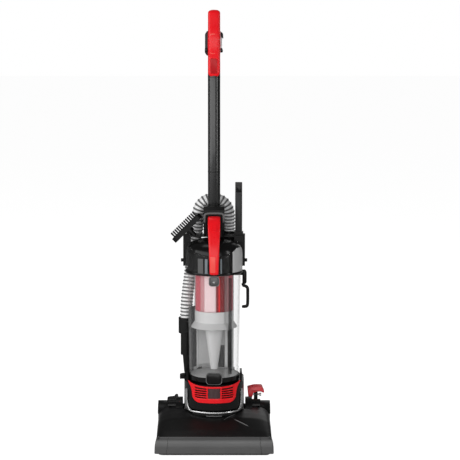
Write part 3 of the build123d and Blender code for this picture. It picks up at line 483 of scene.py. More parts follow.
# ring radius = half diameter - dip (1 - bell(phase)) + height bell(phase), where the bell peaks once a turn
def makeHose(look):
    line = splineLine("hoseLine", hoseRoute)
    length = np.linalg.norm(np.diff(line, axis=0), axis=1).sum()
    turnCount = round(length / look["turnLength"])
    rings = turnCount * look["ringsPerTurn"] + 1
    centres = evenly(line, rings)
    turns = np.linspace(0, turnCount, rings)
    bell = np.exp(-(((turns % 1 - 0.5) / 0.17) ** 2))
    radius = look["diameter"] / 2 - look["filmDip"] * (1 - bell) + look["wireHeight"] * bell
    ahead = directions(centres)
    side = np.cross(ahead, (0, 1, 0))
    side /= np.linalg.norm(side, axis=1)[:, None]
    up = np.cross(side, ahead)
    points = superRings(centres, side, up, radius, radius, 2 * np.ones(rings), look["columns"])
    hose = ringBody("ribbedHose", points, "hose", None, replaced=["hose"], slot="hose_plastic", sharp=80)
    along = np.repeat(turns, look["columns"]).astype(np.float32)
    attribute = hose.data.attributes.new("turns", "FLOAT", "POINT")
    attribute.data.foreach_set("value", along)
    return hose


ribbedHose = makeHose(hoseLook)
print("hose made")


# CAD nodes that keep their shape
nodeFinish = {
    "glossBlack": ["cup_door", "motor_housing"],
    "satinBlack": ["neck_collar", "tool_bracket", "hose_wand", "hose_port", "cord_gland",
                   "motor_rear_cover", "spine_cover", "dusting_brush", "brush_core",
                   "front_roller_left", "front_roller_right"],
    "headBlack": ["head_base", "belt_cover", "duct_cover", "pivot_caps", "suction_duct", "brush_end_caps",
                  "rear_wheel_left", "rear_wheel_right"],
    "cradleGrey": ["spine"],
    "darkGrey": ["fan_housing"],
    "redPlastic": ["cup_release"],
    "steel": ["head_axles", "head_screws", "body_screws", "pedal_springs", "sole_plate", "rotor_shaft",
              "motor"],
    "paleGrey": ["cyclone_cone", "fan_impeller"],
    "skirtGrey": ["shroud_skirt"],
    "rubber": ["rear_tyre_left", "rear_tyre_right", "drive_belt"],
    "redClear": ["shroud_screen"],
    "bristle": ["brush_bristles"],
    "felt": ["cup_filter"],
    "charcoalFelt": ["exhaust_filter"],
}


def paintNodes():
    for finish, names in nodeFinish.items():
        for name in names:
            for materialSlot in nodes[name].material_slots:
                materialSlot.link = "OBJECT"
                materialSlot.material = finishes[finish]


paintNodes()

cupY = float((low("dust_cup")[1] + high("dust_cup")[1]) / 2)


# dust cup and lid
cupLook = {"wall": 0.0025, "bead": 0.0003, "floorRadius": 0.0612, "floorThick": 0.0010, "floorHole": 0.0002}
# the lid band is smoky except for a light grey frosted stretch on the right, which is a painted reflection
lidLook = {"capLift": 0.0009, "capThick": 0.0022, "edgeFront": 0.051, "edgeRise": 0.017, "riseAngle": 55.0,
           "edgeTop": 0.068, "straight": 0.044, "round": 2.8, "reflectFrom": 41.0, "reflectTo": 92.0,
           # this list also holds lidGleam, a grey band that is a painted highlight
           "groovesAndHighlight": [("lidGrooveLeft", -18.5, -13.0, "grooveGrey"), ("lidGrooveRight", 12.5, 15.5,
                                                                       "grooveGrey"),
                       ("lidGleam", -34.0, -22.0, "bandGrey")]}


def makeCup(look):
    bottom, top = low("dust_cup")[2], high("dust_cup")[2]
    topRadius = high("dust_cup")[0]
    footRadius = topRadius - 0.0045
    bead = look["bead"]
    corners = [(footRadius, bottom), (footRadius + bead, bottom + 0.003), (footRadius, bottom + 0.006),
               (topRadius, top - 0.006), (topRadius + bead, top - 0.003), (topRadius, top),
               (topRadius - look["wall"], top), (footRadius - look["wall"], bottom)]
    profile = roundedOutline(corners, 0.0009, 4)
    turnedBody("clearCup", profile, cupY, "clearCup", "cup", replaced=["dust_cup"], slot="clear_plastic",
               sharp=60)


def makeCupFloor(look):
    r, thick = look["floorRadius"], look["floorThick"]
    corners = np.array([(0.0, 0.0), (r, 0.0), (r, thick), (0.0, thick)])
    place = (look["floorHole"], high("cup_door")[2] - look["floorHole"])
    profile = roundedOutline(corners + place, 0.0003, 3)
    turnedBody("doorFloor", profile, cupY, "cradleGrey", "cup", slot="grey_plastic")


# lid radius at a height: straight up to the shoulder, then R (1 - ((z - z0) / H)^n)^(1/n)
def lidRadius(z, look):
    radius = high("cup_lid")[0]
    start = low("cup_lid")[2] + look["straight"]
    tall = high("cup_lid")[2] - start
    above = ((z - start) / tall).clip(0, 1)
    return radius * (1 - above ** look["round"]).clip(0) ** (1 / look["round"])


def makeLid(look):
    bottom, top = low("cup_lid")[2], high("cup_lid")[2]
    angle = np.radians(np.linspace(-180, 180, 145))[None, :]
    swing = np.degrees(np.abs(angle)) / look["riseAngle"]
    edge = bottom + np.minimum(look["edgeFront"] + look["edgeRise"] * swing**2.2, look["edgeTop"])
    v = np.linspace(0, 1, 34)[:, None]
    height = top - 0.00001 - (top - edge) * np.sin(v * math.pi / 2) * v**0.6
    radius = lidRadius(height, look) + look["capLift"] * v.clip(0, 0.4)
    radius[0] = 0.0
    shellPiece("lidCap", angle, radius, height, cupY, look["capThick"], "glossBlack", "cup",
               replaced=["cup_lid"], slot="gloss_black", sharp=45)
    v = np.linspace(0, 1, 20)[:, None]
    # smoky ring round most of the lid; the light grey frosted stretch is a painted reflection
    reflect0, reflect1 = look["reflectFrom"], look["reflectTo"]
    for name, first, last, finish in (("lidRing", reflect1 - 360, reflect0, "smokeRing"),
                                      ("lidReflectionBand", reflect0, reflect1, "reflectionFrost")):
        degrees = np.linspace(first, last, max(12, int((last - first) / 2.5)))[None, :]
        around = np.minimum(np.abs(degrees), 360 - np.abs(degrees)) / look["riseAngle"]
        edge = bottom + np.minimum(look["edgeFront"] + look["edgeRise"] * around**2.2, look["edgeTop"])
        height = bottom + (edge + 0.003 - bottom) * v
        shellPiece(name, np.radians(degrees), lidRadius(height, look) - 0.0004, height, cupY, 0.0022,
                   finish, "cup",
                   slot="smoke_plastic", sharp=45)
    degrees = np.linspace(reflect1 - 360 + 4, reflect0 - 4, 110)[None, :]
    height = bottom + 0.004 + (look["edgeFront"] - 0.002) * v
    shellPiece("lidLiner", np.radians(degrees), lidRadius(height, look) - 0.0060, height, cupY, 0.0015,
               "satinBlack",
               "cup", slot="satin_black", sharp=45)
    rim = lidRadius(np.array(bottom), look)
    corners = [(0.030, bottom), (rim + 0.0004, bottom), (rim + 0.0004, bottom + 0.0065), (0.030,
                                                                                          bottom + 0.003)]
    turnedBody("lidRim", roundedOutline(corners, 0.0012, 4), cupY, "glossBlack", "cup", slot="gloss_black")
    # grooves, and one grey band that is a painted highlight
    for name, first, last, finish in look["groovesAndHighlight"]:
        degrees = np.linspace(first, last, 8)[None, :]
        height = bottom + 0.006 + (look["edgeFront"] - 0.013) * v
        shellPiece(name, np.radians(degrees), lidRadius(height, look) + 0.0006, height, cupY, 0.0009, finish,
                   "cup", slot="grey_plastic", bevel=0.0002, sharp=45)


makeCup(cupLook)
makeCupFloor(cupLook)
makeLid(lidLook)
print("cup and lid made")


# carry handle
# the carry handle's paler front plate, set out by the outline and lean below, is a painted highlight
carryLook = {"thick": 0.0048, "halfTop": 0.0158, "halfBottom": 0.0112, "corner": 3.6, "highlightLean": 0.014,
             "highlightOutline": [(-9.6, 6.0), (3.0, 6.0), (3.4, 47.0), (-10.4, 47.0)]}


# rings across a line in the Y-Z plane: the side is X and the up direction is the line's own normal
def makeCarryHandle(look):
    base = low("carry_handle")
    route = np.array([(0, 0.0045, 0.000), (0, 0.0048, 0.020), (0, 0.0052, 0.040), (0, 0.0075, 0.058),
                      (0, 0.0135, 0.080), (0, 0.0215, 0.102), (0, 0.0310, 0.123), (0, 0.0405, 0.1365),
                      (0, 0.0520, 0.1405), (0, 0.0610, 0.136), (0, 0.0655, 0.122), (0, 0.0660, 0.100),
                      (0, 0.0660, 0.086)])
    middles = evenly(smoothLine(route + (0, base[1], base[2]), 240), 110)
    ahead = directions(middles)
    across = np.cross(ahead, (1, 0, 0))
    s = np.linspace(0, 1, len(middles))
    half = look["halfBottom"] + (look["halfTop"] - look["halfBottom"]) * (s / 0.55).clip(0, 1) ** 1.2
    half = np.where(s > 0.72, half - (s - 0.72) / 0.28 * 0.008, half)
    ends = endRound(0.5 * (s / 0.02).clip(0, 1), 2.4)
    rings = superRings(middles, (1, 0, 0), across, half * (0.55 + 0.45 * ends),
                       look["thick"] * ends.clip(0.3),
                       look["corner"], 44)
    ringBody("carryHandle", rings, "redPlastic", "cup", replaced=["carry_handle"], slot="red_plastic",
             sharp=50)
    # a paler red plate on the handle's front: a painted highlight where the front light falls
    highlightOutline = roundedOutline(np.array(look["highlightOutline"]) * mm, 0.003, 6)
    plateBody("carryHighlight", highlightOutline, (0, base[1], base[2]), (1, 0, 0), (0, look["highlightLean"], 1), (0, 1, 0),
              -0.0007,
              0.0020, 0.0004, "redHighlightPaint", "cup", slot="red_plastic")


makeCarryHandle(carryLook)


# grip
gripLook = {"half": 0.0157, "corner": 4.2, "tip": 0.055, "foot": 0.085,
            # the two plate outlines: the lower, darker red one is painted shade, the upper, paler red one a
            # painted highlight
            "panel": [(-9.5, 958.0), (8.0, 958.0), (8.0, 997.0), (-9.5, 997.0)],
            "highlight": [(-10.0, 1008.0), (3.4, 1008.0), (3.4, 1060.0), (-10.0, 1060.0)]}


# each level is a superellipse between the front line and the rear line, read at that height
def makeGrip(look):
    bottom, top = low("handle_grip")[2], high("handle_grip")[2]
    tall = top - bottom
    s = crowded(110)
    heights = np.array([0, 0.06, 0.16, 0.28, 0.42, 0.55, 0.66, 0.80, 0.92, 1.0])
    front = np.array([0.0325, 0.0322, 0.0325, 0.0315, 0.0268, 0.0262, 0.0290, 0.0345, 0.0385, 0.0415])
    rear = np.array([0.0680, 0.0690, 0.0690, 0.0690, 0.0690, 0.0690, 0.0672, 0.0660, 0.0655, 0.0640])
    wide = np.array([1.02, 1.02, 1.01, 1.00, 1.03, 1.05, 1.01, 1.00, 1.00, 0.99])
    smooth = np.ones(7) / 7
    f, r, w = [np.convolve(np.pad(np.interp(s, heights, a), 3, mode="edge"), smooth, mode="valid")
               for a in (front, rear, wide)]
    tip = (1 - ((s - 1 + look["tip"]) / look["tip"]).clip(0, 1) ** 2.6) ** (1 / 2.6)
    foot = (1 - ((look["foot"] - s) / look["foot"]).clip(0, 1) ** 2.2) ** (1 / 2.2)
    size = (tip * foot).clip(0.03)
    middles = np.stack((0 * s, (f + r) / 2, bottom + tall * s), axis=1)
    rings = superRings(middles, (1, 0, 0), (0, 1, 0), w * size * look["half"],
                       (r - f) / 2 * (0.35 + 0.65 * size),
                       look["corner"] * np.ones(110), 56)
    ringBody("gripShell", rings, "redPlastic", "upper_body", replaced=["handle_grip"], slot="red_plastic",
             sharp=50)
    # two plates on the grip's front: darker red low down as painted shade where the grip faces downward, paler
    # red above as a painted highlight
    for name, key, finish in (("gripShadePanel", "panel", "redShadePaint"), ("gripHighlight", "highlight", "redHighlightPaint")):
        outline = np.array(look[key]) * mm
        level = (outline[1:3, 1] - bottom) / tall
        y0, y1 = np.interp(level, heights, front)
        lean = (y1 - y0) / (outline[2, 1] - outline[1, 1])
        outline = roundedOutline(outline - (0, outline[0, 1]), 0.0035, 6)
        plateBody(name, outline, (0, y0, look[key][0][1] * mm), (1, 0, 0), (0, lean, 1), (0, 1, 0), -0.0004,
                  0.0030,
                  0.0004, finish, "upper_body", slot="red_plastic")


makeGrip(gripLook)
tubeLook = {"radius": 0.0159, "y": 0.051, "bottom": 0.552, "top": 0.990, "columns": 96}


def makeTube(look):
    r, base, top = look["radius"], look["bottom"], look["top"]
    corners = [(r - 0.0015, base), (r, base), (r, top), (r - 0.0015, top)]
    profile = roundedOutline(corners, 0.0005, 3)
    turnedBody("tubeShell", profile, look["y"], "tubeBlack", "upper_body", columns=look["columns"],
               replaced=["handle_tube"], slot="gloss_black")
    for k, level in enumerate((0.704, 0.948)):    # swaged rings near both ends
        corners = [(r - 0.0010, level), (r + 0.0004, level + 0.0006), (r + 0.0004, level + 0.0022),
                   (r - 0.0010, level + 0.0028)]
        turnedBody("tubeRing" + str(k + 1), roundedOutline(corners, 0.0003, 3), look["y"], "glossBlack",
                   "upper_body", slot="gloss_black")


makeTube(tubeLook)

topHookLook = {
    "parts": [
        ("hookSlabLeft", [(-10, 1003), (-18.5, 1003), (-23.5, 1010), (-23.5, 1058), (-18.5, 1066), (-10,
                                                                                                    1066)],
         0.0745, 0.0835, "darkGrey"),
        ("hookSlabRight", [(10, 1014), (20.5, 1014), (20.5, 1062), (16.5, 1066), (10, 1066)],
         0.0745, 0.0835, "paleGrey"),
        ("hookPadLeft", [(-24, 1011), (-15, 1011), (-15, 1022), (-24, 1022)], 0.0715, 0.0840, "glossBlack"),
        ("hookPadRight", [(12, 1011), (21.5, 1011), (23.0, 1014), (21.5, 1022), (12, 1022)], 0.0715, 0.0840,
         "glossBlack"),
        ("hookClip", [(17.5, 1053), (22.5, 1046.5), (24.0, 1047.5), (23.0, 1060), (18.5, 1064), (17.0,
                                                                                                 1062)],
         0.0705, 0.0740, "darkGrey"),
        ("hookCross", [(-12, 1025), (12, 1025), (12, 1043), (-12, 1043)], 0.0700, 0.0835, "satinBlack"),
    ],
}


def makeTopHook(look):
    for name, corners, near, far, finish in look["parts"]:
        replaced = ["upper_cord_hook"] if name == "hookCross" else []
        outline = roundedOutline(np.array(corners) * mm, 0.0018, 5)
        plateBody(name, outline, (0, 0, 0), low=near, high=far, bevel=0.0009, finish=finish,
                  body="cord_hook",
                  replaced=replaced, slot="satin_black", **facingFront)


makeTopHook(topHookLook)
print("handles made")


# exhaust grille and trim
grilleLook = {"thick": 0.0026, "slotRows": 5, "slotPitch": 0.0058, "slotHigh": 0.0035, "slotStart": 0.0118,
              "slotFrom": 0.0195, "slotTo": 0.0505, "windowHalf": 0.0165, "earRise": 0.010,
              "cornerRise": 0.012,
              "reach": [(0, 43.5), (0.3, 44.0), (0.62, 45.0), (0.80, 47.5), (0.92, 53.0), (1, 57.0)]}


# angle = u reach(v); height = level, lifted at the ears and at the low corners
def makeGrille(look):
    lowZ, highZ = low("exhaust_grille")[2], high("exhaust_grille")[2]
    radius = cupY - low("exhaust_grille")[1]
    tall = highZ - lowZ
    slotEdges = [look["slotStart"] + look["slotPitch"] * k + e for k in range(look["slotRows"])
                 for e in (0, look["slotHigh"])]
    levels = np.array([0, 0.0015, 0.004, 0.008] + slotEdges + [slotEdges[-1] + 0.0015, tall - 0.0015, tall])
    u = np.linspace(-1, 1, 121)[None, :]
    v = (levels / tall)[:, None]
    shares, angles = np.array(look["reach"]).T
    reach = np.radians(np.interp(v, shares, angles))
    ear = look["earRise"] * np.abs(u) ** 3 * ((v - 0.75) / 0.25).clip(0, 1)
    corner = look["cornerRise"] * ((np.abs(u) - 0.60) / 0.40).clip(0, 1) ** 2.6 * (1 - v / 0.45).clip(0, 1)
    height = lowZ + levels[:, None] + ear + corner
    cellX = radius * np.sin(reach * u)
    cellX = np.abs(cellX[:-1, :-1] + cellX[1:, 1:]) / 2
    cellZ = ((levels[:-1] + levels[1:]) / 2)[:, None]
    inSlot = np.zeros(cellX.shape, bool)
    for k in range(look["slotRows"]):
        inSlot |= np.abs(cellZ - slotEdges[2 * k] - look["slotHigh"] / 2) < look["slotHigh"] / 2
    sides = (cellX > look["slotFrom"]) & (cellX < look["slotTo"])
    window = (cellX < look["windowHalf"]) & (cellZ > slotEdges[0]) & (cellZ < slotEdges[-1])
    keep = ~((inSlot & sides) | window)
    shellPiece("grilleShell", reach * u, radius, height, cupY, look["thick"], "redPlastic", "grille",
               keep=keep,
               bevel=0.0004, replaced=["exhaust_grille"], slot="red_plastic", sharp=40)
    angle = np.radians(np.linspace(-13, 13, 27))[None, :]
    height = lowZ + np.linspace(slotEdges[0] - 0.003, slotEdges[-1] + 0.003, 12)[:, None]
    ripple = 0.0004 * np.sin(height * 2200) * np.cos(angle * 40)
    shellPiece("grilleBadge", angle, radius - look["thick"] + ripple, height, cupY, 0.0012, "badge",
               "grille",
               slot="satin_black", sharp=40)


makeGrille(grilleLook)

trimLook = {"thick": 0.003, "bottom": 0.0878, "high": 0.0046, "wingFrom": 49.0, "wingTo": 60.0,
            "wingRise": 0.017, "stripTo": 69.0, "stripTop": 0.147}


# top edge = bottom + height, + rise ((angle - a) / (b - a))^1.8 on the wings, then straight up on the strips
def makeTrim(look):
    degrees = np.linspace(-look["stripTo"], look["stripTo"], 265)[None, :]
    angle, away = np.radians(degrees), np.abs(degrees)
    radius = cupY - low("trim_band")[1]
    wing = ((away - look["wingFrom"]) / (look["wingTo"] - look["wingFrom"])).clip(0, 1)
    bottom = look["bottom"] + 0.006 * ((away - look["wingFrom"]) / 20).clip(0, 1) ** 1.5
    top = look["bottom"] + look["high"] + look["wingRise"] * wing**1.8
    strip = (away - look["wingTo"]).clip(0, 1)
    top = top * (1 - strip) + (look["stripTop"] - 0.0005 * (away - look["wingTo"])) * strip
    v = np.linspace(0, 1, 25)[:, None]
    height = bottom + (top - bottom) * v
    bulge = radius - 0.0008 + 0.0008 * np.sin(math.pi * v)
    shellPiece("silverArc", angle, bulge, height, cupY, look["thick"], "silverTrim", "upper_body",
               bevel=0.0005,
               replaced=["trim_band"], slot="silver_trim", sharp=40)
    angle = np.radians(np.linspace(-46, 46, 93))[None, :]
    height = look["bottom"] - 0.007 + (0.007 + look["high"] / 2) * np.linspace(0, 1, 8)[:, None]
    shellPiece("chinShell", angle, radius - 0.002, height, cupY, 0.0025, "glossBlack", "upper_body",
               slot="gloss_black", sharp=40)
    angle = np.radians(np.linspace(-15, 15, 41))[None, :]
    height = look["bottom"] - 0.0066 + 0.0016 * np.linspace(0, 1, 4)[:, None]
    shellPiece("chinLine", angle, radius - 0.0014, height, cupY, 0.0008, "midGrey", "upper_body",
               slot="silver_trim", sharp=40)


makeTrim(trimLook)
print("grille and trim made")


# floor head
hoodLook = {"thick": 0.0022, "sidePower": 5.0, "frontRound": 0.012,
            "sideLine": [(-135, 36), (-133, 42.5), (-124, 48.5), (-100, 59.5), (-75, 69.5), (-50, 79), (-20,
                                                                                                        84.5),
                         (8, 88), (60, 88)],
            "ridges": [((24, -62), (55, -29)), ((52, -57), (88, -85))]}


# height = base + (h(y) - base) (1 - |x / half|^n)^(1/n), where h(y) is the side line of the hood
def hoodHeight(x, y, look):
    half, base = high("head_hood")[0], low("head_hood")[2]
    lineY, lineZ = np.array(look["sideLine"]).T * mm
    side = (1 - (np.abs(x) / half).clip(0, 1) ** look["sidePower"]) ** (1 / look["sidePower"])
    return base + (np.interp(y, lineY, lineZ) - base) * side


def makeHood(look):
    lowCorner, highCorner = low("head_hood"), high("head_hood")
    half = highCorner[0]
    x = half * np.sin(np.linspace(-1, 1, 141) * math.pi / 2)
    x = np.sort(np.concatenate((x, [-0.1010, -0.1000, -0.0830, -0.0815, 0.0815, 0.0830, 0.1000, 0.1010])))
    ax = np.abs(x)
    turn = look["frontRound"]
    front = lowCorner[1] + turn - np.sqrt((turn**2 - (ax - half + turn).clip(0, turn) ** 2).clip(0))
    rear = np.where(ax < 0.0822, 0.008, np.where(ax < 0.1005, 0.024, highCorner[1])) - 0.0005
    v = np.concatenate(([0, 0, 0.01], np.linspace(0.03, 1, 40)))[:, None]
    y = front + (rear - front) * v
    z = hoodHeight(x, y - (front - lowCorner[1]), look)
    z[0] = lowCorner[2]
    skirt = np.stack((x, y[-1], np.maximum(lowCorner[2], z[-1] - 0.030)), axis=-1)[None]
    grid = np.stack((np.broadcast_to(x, y.shape), y, z), axis=-1)
    grid = np.concatenate((grid, skirt))
    faces = gridFaces(grid.shape[0], grid.shape[1], False, False)
    hood = addPiece("nozzleHood", grid, faces, "headBlack", "floor_head", replaced=["head_hood"],
                    slot="gloss_black", sharp=40, outFrom=(0, -0.03, 0.02))
    thicken(hood, look["thick"])
    # thin raised ridges along creases in the hood, coloured mid grey as a painted highlight on the black hood
    for k, (start, end) in enumerate(look["ridges"]):
        t = np.linspace(0, 1, 40)[:, None]
        flat = (np.array(start) * (1 - t) + np.array(end) * t) * mm
        z = hoodHeight(flat[:, 0], flat[:, 1], look)
        middles = np.column_stack((flat, z))
        size = 0.0011 * endRound(t[:, 0], 2.5).clip(0.05)
        rings = superRings(middles, (0.7, 0.7, 0.2), (0, -0.3, 0.95), size, size, 2 * np.ones(40), 12)
        ringBody("hoodRidgeHighlight" + str(k + 1), rings, "midGrey", "floor_head", slot="silver_trim")


makeHood(hoodLook)

bandLook = {"seamX": 0.1165, "seamGap": 0.0004, "seamLean": 0.0055, "corner": 0.005,
            "section": [(-4.2, 8), (-0.6, 7.0), (0, 8.5), (-0.6, 26), (-2.2, 36), (-5.0, 43.5), (-11.5, 49),
                        (-12.6, 47.6), (-7, 41), (-4.6, 34)]}


# a section (outward, height) carried along the plan line of the nose; each end at a seam leans outwards
# towards the floor by lean (1 - z / top)^1.6
def makeBand(look):
    lowCorner, highCorner = low("front_bumper"), high("front_bumper")
    half, front, rear = highCorner[0], lowCorner[1], highCorner[1]
    plan = [(-half, rear), (-half, front), (half, front), (half, rear)]
    line = evenly(roundedOutline(plan, look["corner"], 24, closed=False), 420)
    ahead = directions(line)
    out = np.stack((ahead[:, 1], -ahead[:, 0]), axis=1)
    section = roundedOutline(np.array(look["section"]) * mm, 0.0030, 5)
    gap, seam = look["seamGap"], look["seamX"]
    parts = {"bandLeft": line[:, 0] < -seam - 0.003, "bandMiddle": np.abs(line[:, 0]) < seam - 0.003,
             "bandRight": line[:, 0] > seam + 0.003}
    lean = look["seamLean"] * (1 - section[:, 1] / highCorner[2]).clip(0, 1) ** 1.6
    for name, chosen in parts.items():
        plan, normal = line[chosen], out[chosen]
        flat = plan[:, None] + section[None, :, :1] * normal[:, None]
        # the side wings taper to the rear
        taper = ((plan[:, 1] - front - 0.020) / (rear - front - 0.020)).clip(0, 1)[:, None]
        height = section[None, :, 1] * (1 - 0.38 * taper) + 0.003 * taper
        if name != "bandRight":
            flat[-1, :, 0] = (seam + lean - gap) if name == "bandMiddle" else (-seam - lean - gap)
        if name != "bandLeft":
            flat[0, :, 0] = (-seam - lean + gap) if name == "bandMiddle" else (seam + lean + gap)
        rings = np.concatenate((flat, height[..., None]), axis=-1)
        replaced = ["front_bumper"] if name == "bandMiddle" else []
        ringBody(name, rings, "bandGrey", "floor_head", replaced=replaced, slot="satin_black", sharp=40)


makeBand(bandLook)
print("floor head made")


# pedals and wheel arches
pedalLook = {
    "reclineOutline": [(88.8, 121.0), (90.5, 122.0), (106.0, 126.0), (124.6, 126.2), (128.5, 124.5), (130.5,
                                                                                                      118.0),
                       (134.0, 111.8), (131.5, 109.8), (125.0, 113.0), (112.0, 113.0), (104.5, 109.5),
                       (101.2, 97.0), (91.3, 97.0), (90.0, 108.0)],
    "powerOutline": [(-125.0, 84.0), (-96.0, 84.0), (-96.0, 98.0), (-99.5, 100.0), (-103.5, 99.0), (-106.5,
                                                                                                    94.0),
                     (-119.0, 92.8), (-125.0, 91.0)],
    "fromY": 0.0925, "toY": 0.1275,
}
archLook = {"inner": 0.0425, "outer": 0.0468, "from": 38.0, "to": 152.0, "nearX": 0.1185, "farX": 0.1490}


def makePedals(look):
    for name, key, node, finish, body, slot in (
            ("reclinePedal", "reclineOutline", "recline_pedal", "redPedal", "recline_lever", "red_plastic"),
            ("powerPedal", "powerOutline", "power_pedal", "satinBlack", "power_lever", "satin_black")):
        outline = roundedOutline(np.array(look[key]) * mm, 0.0016, 5)
        plateBody(name, outline, (0, 0, 0), low=look["fromY"], high=look["toY"], bevel=0.0012, finish=finish,
                  body=body, replaced=[node], slot=slot, **facingFront)
    for k in range(4):    # grip ribs across the top of the recline pedal
        y = look["fromY"] + 0.006 + 0.0075 * k
        top = np.array(look["reclineOutline"][1:4]) * mm
        middles = smoothLine(np.column_stack((top[:, 0], np.full(3, y), top[:, 1])), 24)
        size = 0.0007 * endRound(np.linspace(0, 1, 24), 3).clip(0.05)
        rings = superRings(middles, (0, 1, 0), (0, 0, 1), size, size, 2 * np.ones(24), 10)
        ringBody("pedalRib" + str(k + 1), rings, "redPedal", "recline_lever", slot="red_plastic")


# an arch over each rear wheel: the ring between two radii about the axle, carried along X
def makeArches(look):
    axleY = (low("rear_tyre_left")[1] + high("rear_tyre_left")[1]) / 2
    axleZ = (low("rear_tyre_left")[2] + high("rear_tyre_left")[2]) / 2
    angle = np.radians(np.linspace(look["from"], look["to"], 40))
    outer = np.column_stack((np.cos(angle), np.sin(angle))) * look["outer"]
    inner = np.column_stack((np.cos(angle), np.sin(angle)))[::-1] * look["inner"]
    outline = np.concatenate((outer, inner))
    for name, side in (("archLeft", -1), ("archRight", 1)):
        plateBody(name, outline, (0, axleY, axleZ), (0, 1, 0), (0, 0, 1), (side, 0, 0), look["nearX"],
                  look["farX"],
                  0.0008, "headBlack", "floor_head", slot="gloss_black")


makePedals(pedalLook)
makeArches(archLook)
print("pedals and arches made")


# lower cord hook
hookLook = {"padOutline": [(74.8, 401.5), (83.5, 401.5), (86.3, 406.0), (86.3, 434.0), (83.0, 439.7), (74.8,
                                                                                                       439.7)],
            "line": [(76.0, 404.0), (77.5, 397.5), (84.0, 395.0), (88.6, 390.0), (89.2, 380.0), (89.2,
                                                                                                 352.0),
                     (87.5, 342.5), (81.5, 340.5), (73.5, 340.2)],
            "y": 0.1105, "half": 0.0042}


def makeLowerHook(look):
    outline = roundedOutline(np.array(look["padOutline"]) * mm, 0.0035, 6)
    plateBody("hookPad", outline, (0, look["y"], 0), low=-0.0050, high=0.0035, bevel=0.0014,
              finish="satinBlack",
              body="upper_body", replaced=["lower_cord_hook"], slot="satin_black", **facingFront)
    line = np.array(look["line"]) * mm
    middles = evenly(smoothLine(np.column_stack((line[:, 0], np.full(len(line), look["y"]), line[:, 1])),
                                200), 90)
    ahead = directions(middles)
    size = look["half"] * endRound(np.linspace(0, 1, 90), 9).clip(0.05)
    rings = superRings(middles, (0, 1, 0), np.cross(ahead, (0, 1, 0)), size, size, 3 * np.ones(90), 24)
    ringBody("hookLoop", rings, "satinBlack", "upper_body", slot="satin_black", sharp=50)
    bar = [(30, 425), (76, 425), (76, 434), (30, 434)]
    plateBody("hookBar", roundedOutline(np.array(bar) * mm, 0.002, 4), (0, look["y"], 0), low=-0.0030,
              high=0.0030,
              bevel=0.0008, finish="satinBlack", body="upper_body", slot="satin_black", **facingFront)


makeLowerHook(hookLook)


# wand duct
ductLook = {"levels": [(162, 9.0), (168, 10.8), (178, 11.5), (225, 14.4), (262, 16.8), (273, 17.2)],
            "topX": -0.0710, "footX": -0.0685, "y": 0.0935, "elbowEnd": -0.0320, "elbowZ": 0.1725,
            "elbowHalf": 0.0095}


def makeDuct(look):
    heights, halves = np.array(look["levels"]).T * mm
    z = heights[0] + (heights[-1] - heights[0]) * crowded(60)
    half = np.interp(z, heights, halves)
    s = (z - heights[0]) / (heights[-1] - heights[0])
    middles = np.stack((look["footX"] + (look["topX"] - look["footX"]) * s, look["y"] + 0 * s, z), axis=1)
    rings = superRings(middles, (1, 0, 0), (0, 1, 0), half, half, 2.6 * np.ones(60), 44)
    ringBody("ductShell", rings, "satinBlack", "upper_body", replaced=["wand_duct"], slot="satin_black",
             sharp=50)
    x = np.linspace(look["footX"], look["elbowEnd"], 30)
    middles = np.stack((x, look["y"] + 0 * x, look["elbowZ"] + 0 * x), axis=1)
    size = look["elbowHalf"] * np.ones(30)
    rings = superRings(middles, (0, 1, 0), (0, 0, 1), size, size, 2.6 * np.ones(30), 32)
    ringBody("ductElbow", rings, "satinBlack", "upper_body", slot="satin_black", sharp=50)


makeDuct(ductLook)


# crevice tool
creviceLook = {"middleX": 0.0640, "halfX": 0.0091, "foot": 0.0086, "rearY": 0.0695, "frontFoot": 0.0545,
               "frontTip": 0.0590, "corner": 6.0, "tip": 0.6765}


# rings up the tool; its front leans back towards the tip
def makeCrevice(look):
    bottom, top = low("crevice_tool")[2], look["tip"]
    s = crowded(70)
    front = look["frontFoot"] + (look["frontTip"] - look["frontFoot"]) * s
    half = look["foot"] + (look["halfX"] - look["foot"]) * (s / 0.2).clip(0, 1)
    ends = (1 - ((s - 0.992) / 0.008).clip(0, 1) ** 2 * 0.08) * (1 - ((0.01 - s) / 0.01).clip(0, 1) * 0.08)
    middles = np.stack((look["middleX"] + 0 * s, (front + look["rearY"]) / 2, bottom + (top - bottom) * s),
                       axis=1)
    rings = superRings(middles, (1, 0, 0), (0, 1, 0), half * ends, (look["rearY"] - front) / 2 * ends,
                       look["corner"] * np.ones(70), 48)
    ringBody("creviceShell", rings, "darkGrey", "crevice", replaced=["crevice_tool"], slot="satin_black",
             sharp=50)
    leaning = {"u": (1, 0, 0), "v": (0, 0.03, 1), "w": (0, 1, -0.03)}
    for name, x0, x1, z0, z1, finish in (("creviceMouth", -6.6, 6.6, -26.0, -7.5, "glossBlack"),
                                         ("creviceRib", -6.6, 6.6, -140.0, -30.0, "darkGrey")):
        outline = roundedOutline(np.array([(x0, z0), (x1, z0), (x1, z1), (x0, z1)]) * mm, 0.0012, 5)
        place = (look["middleX"], look["frontTip"], top)
        plateBody(name, outline, place, low=-0.0006, high=0.0015, bevel=0.0003, finish=finish,
                  body="crevice",
                  slot="satin_black", **leaning)


makeCrevice(creviceLook)


# lip of the neck collar
lipLook = {"line": [(-24.0, 578.0), (-24.3, 590.0), (-23.6, 598.0), (-18.0, 601.4), (0.0, 602.2), (18.0,
                                                                                                   601.4),
                    (23.6, 598.0), (24.3, 590.0), (24.0, 578.0)], "halfWide": 0.0029, "halfDeep": 0.0022}


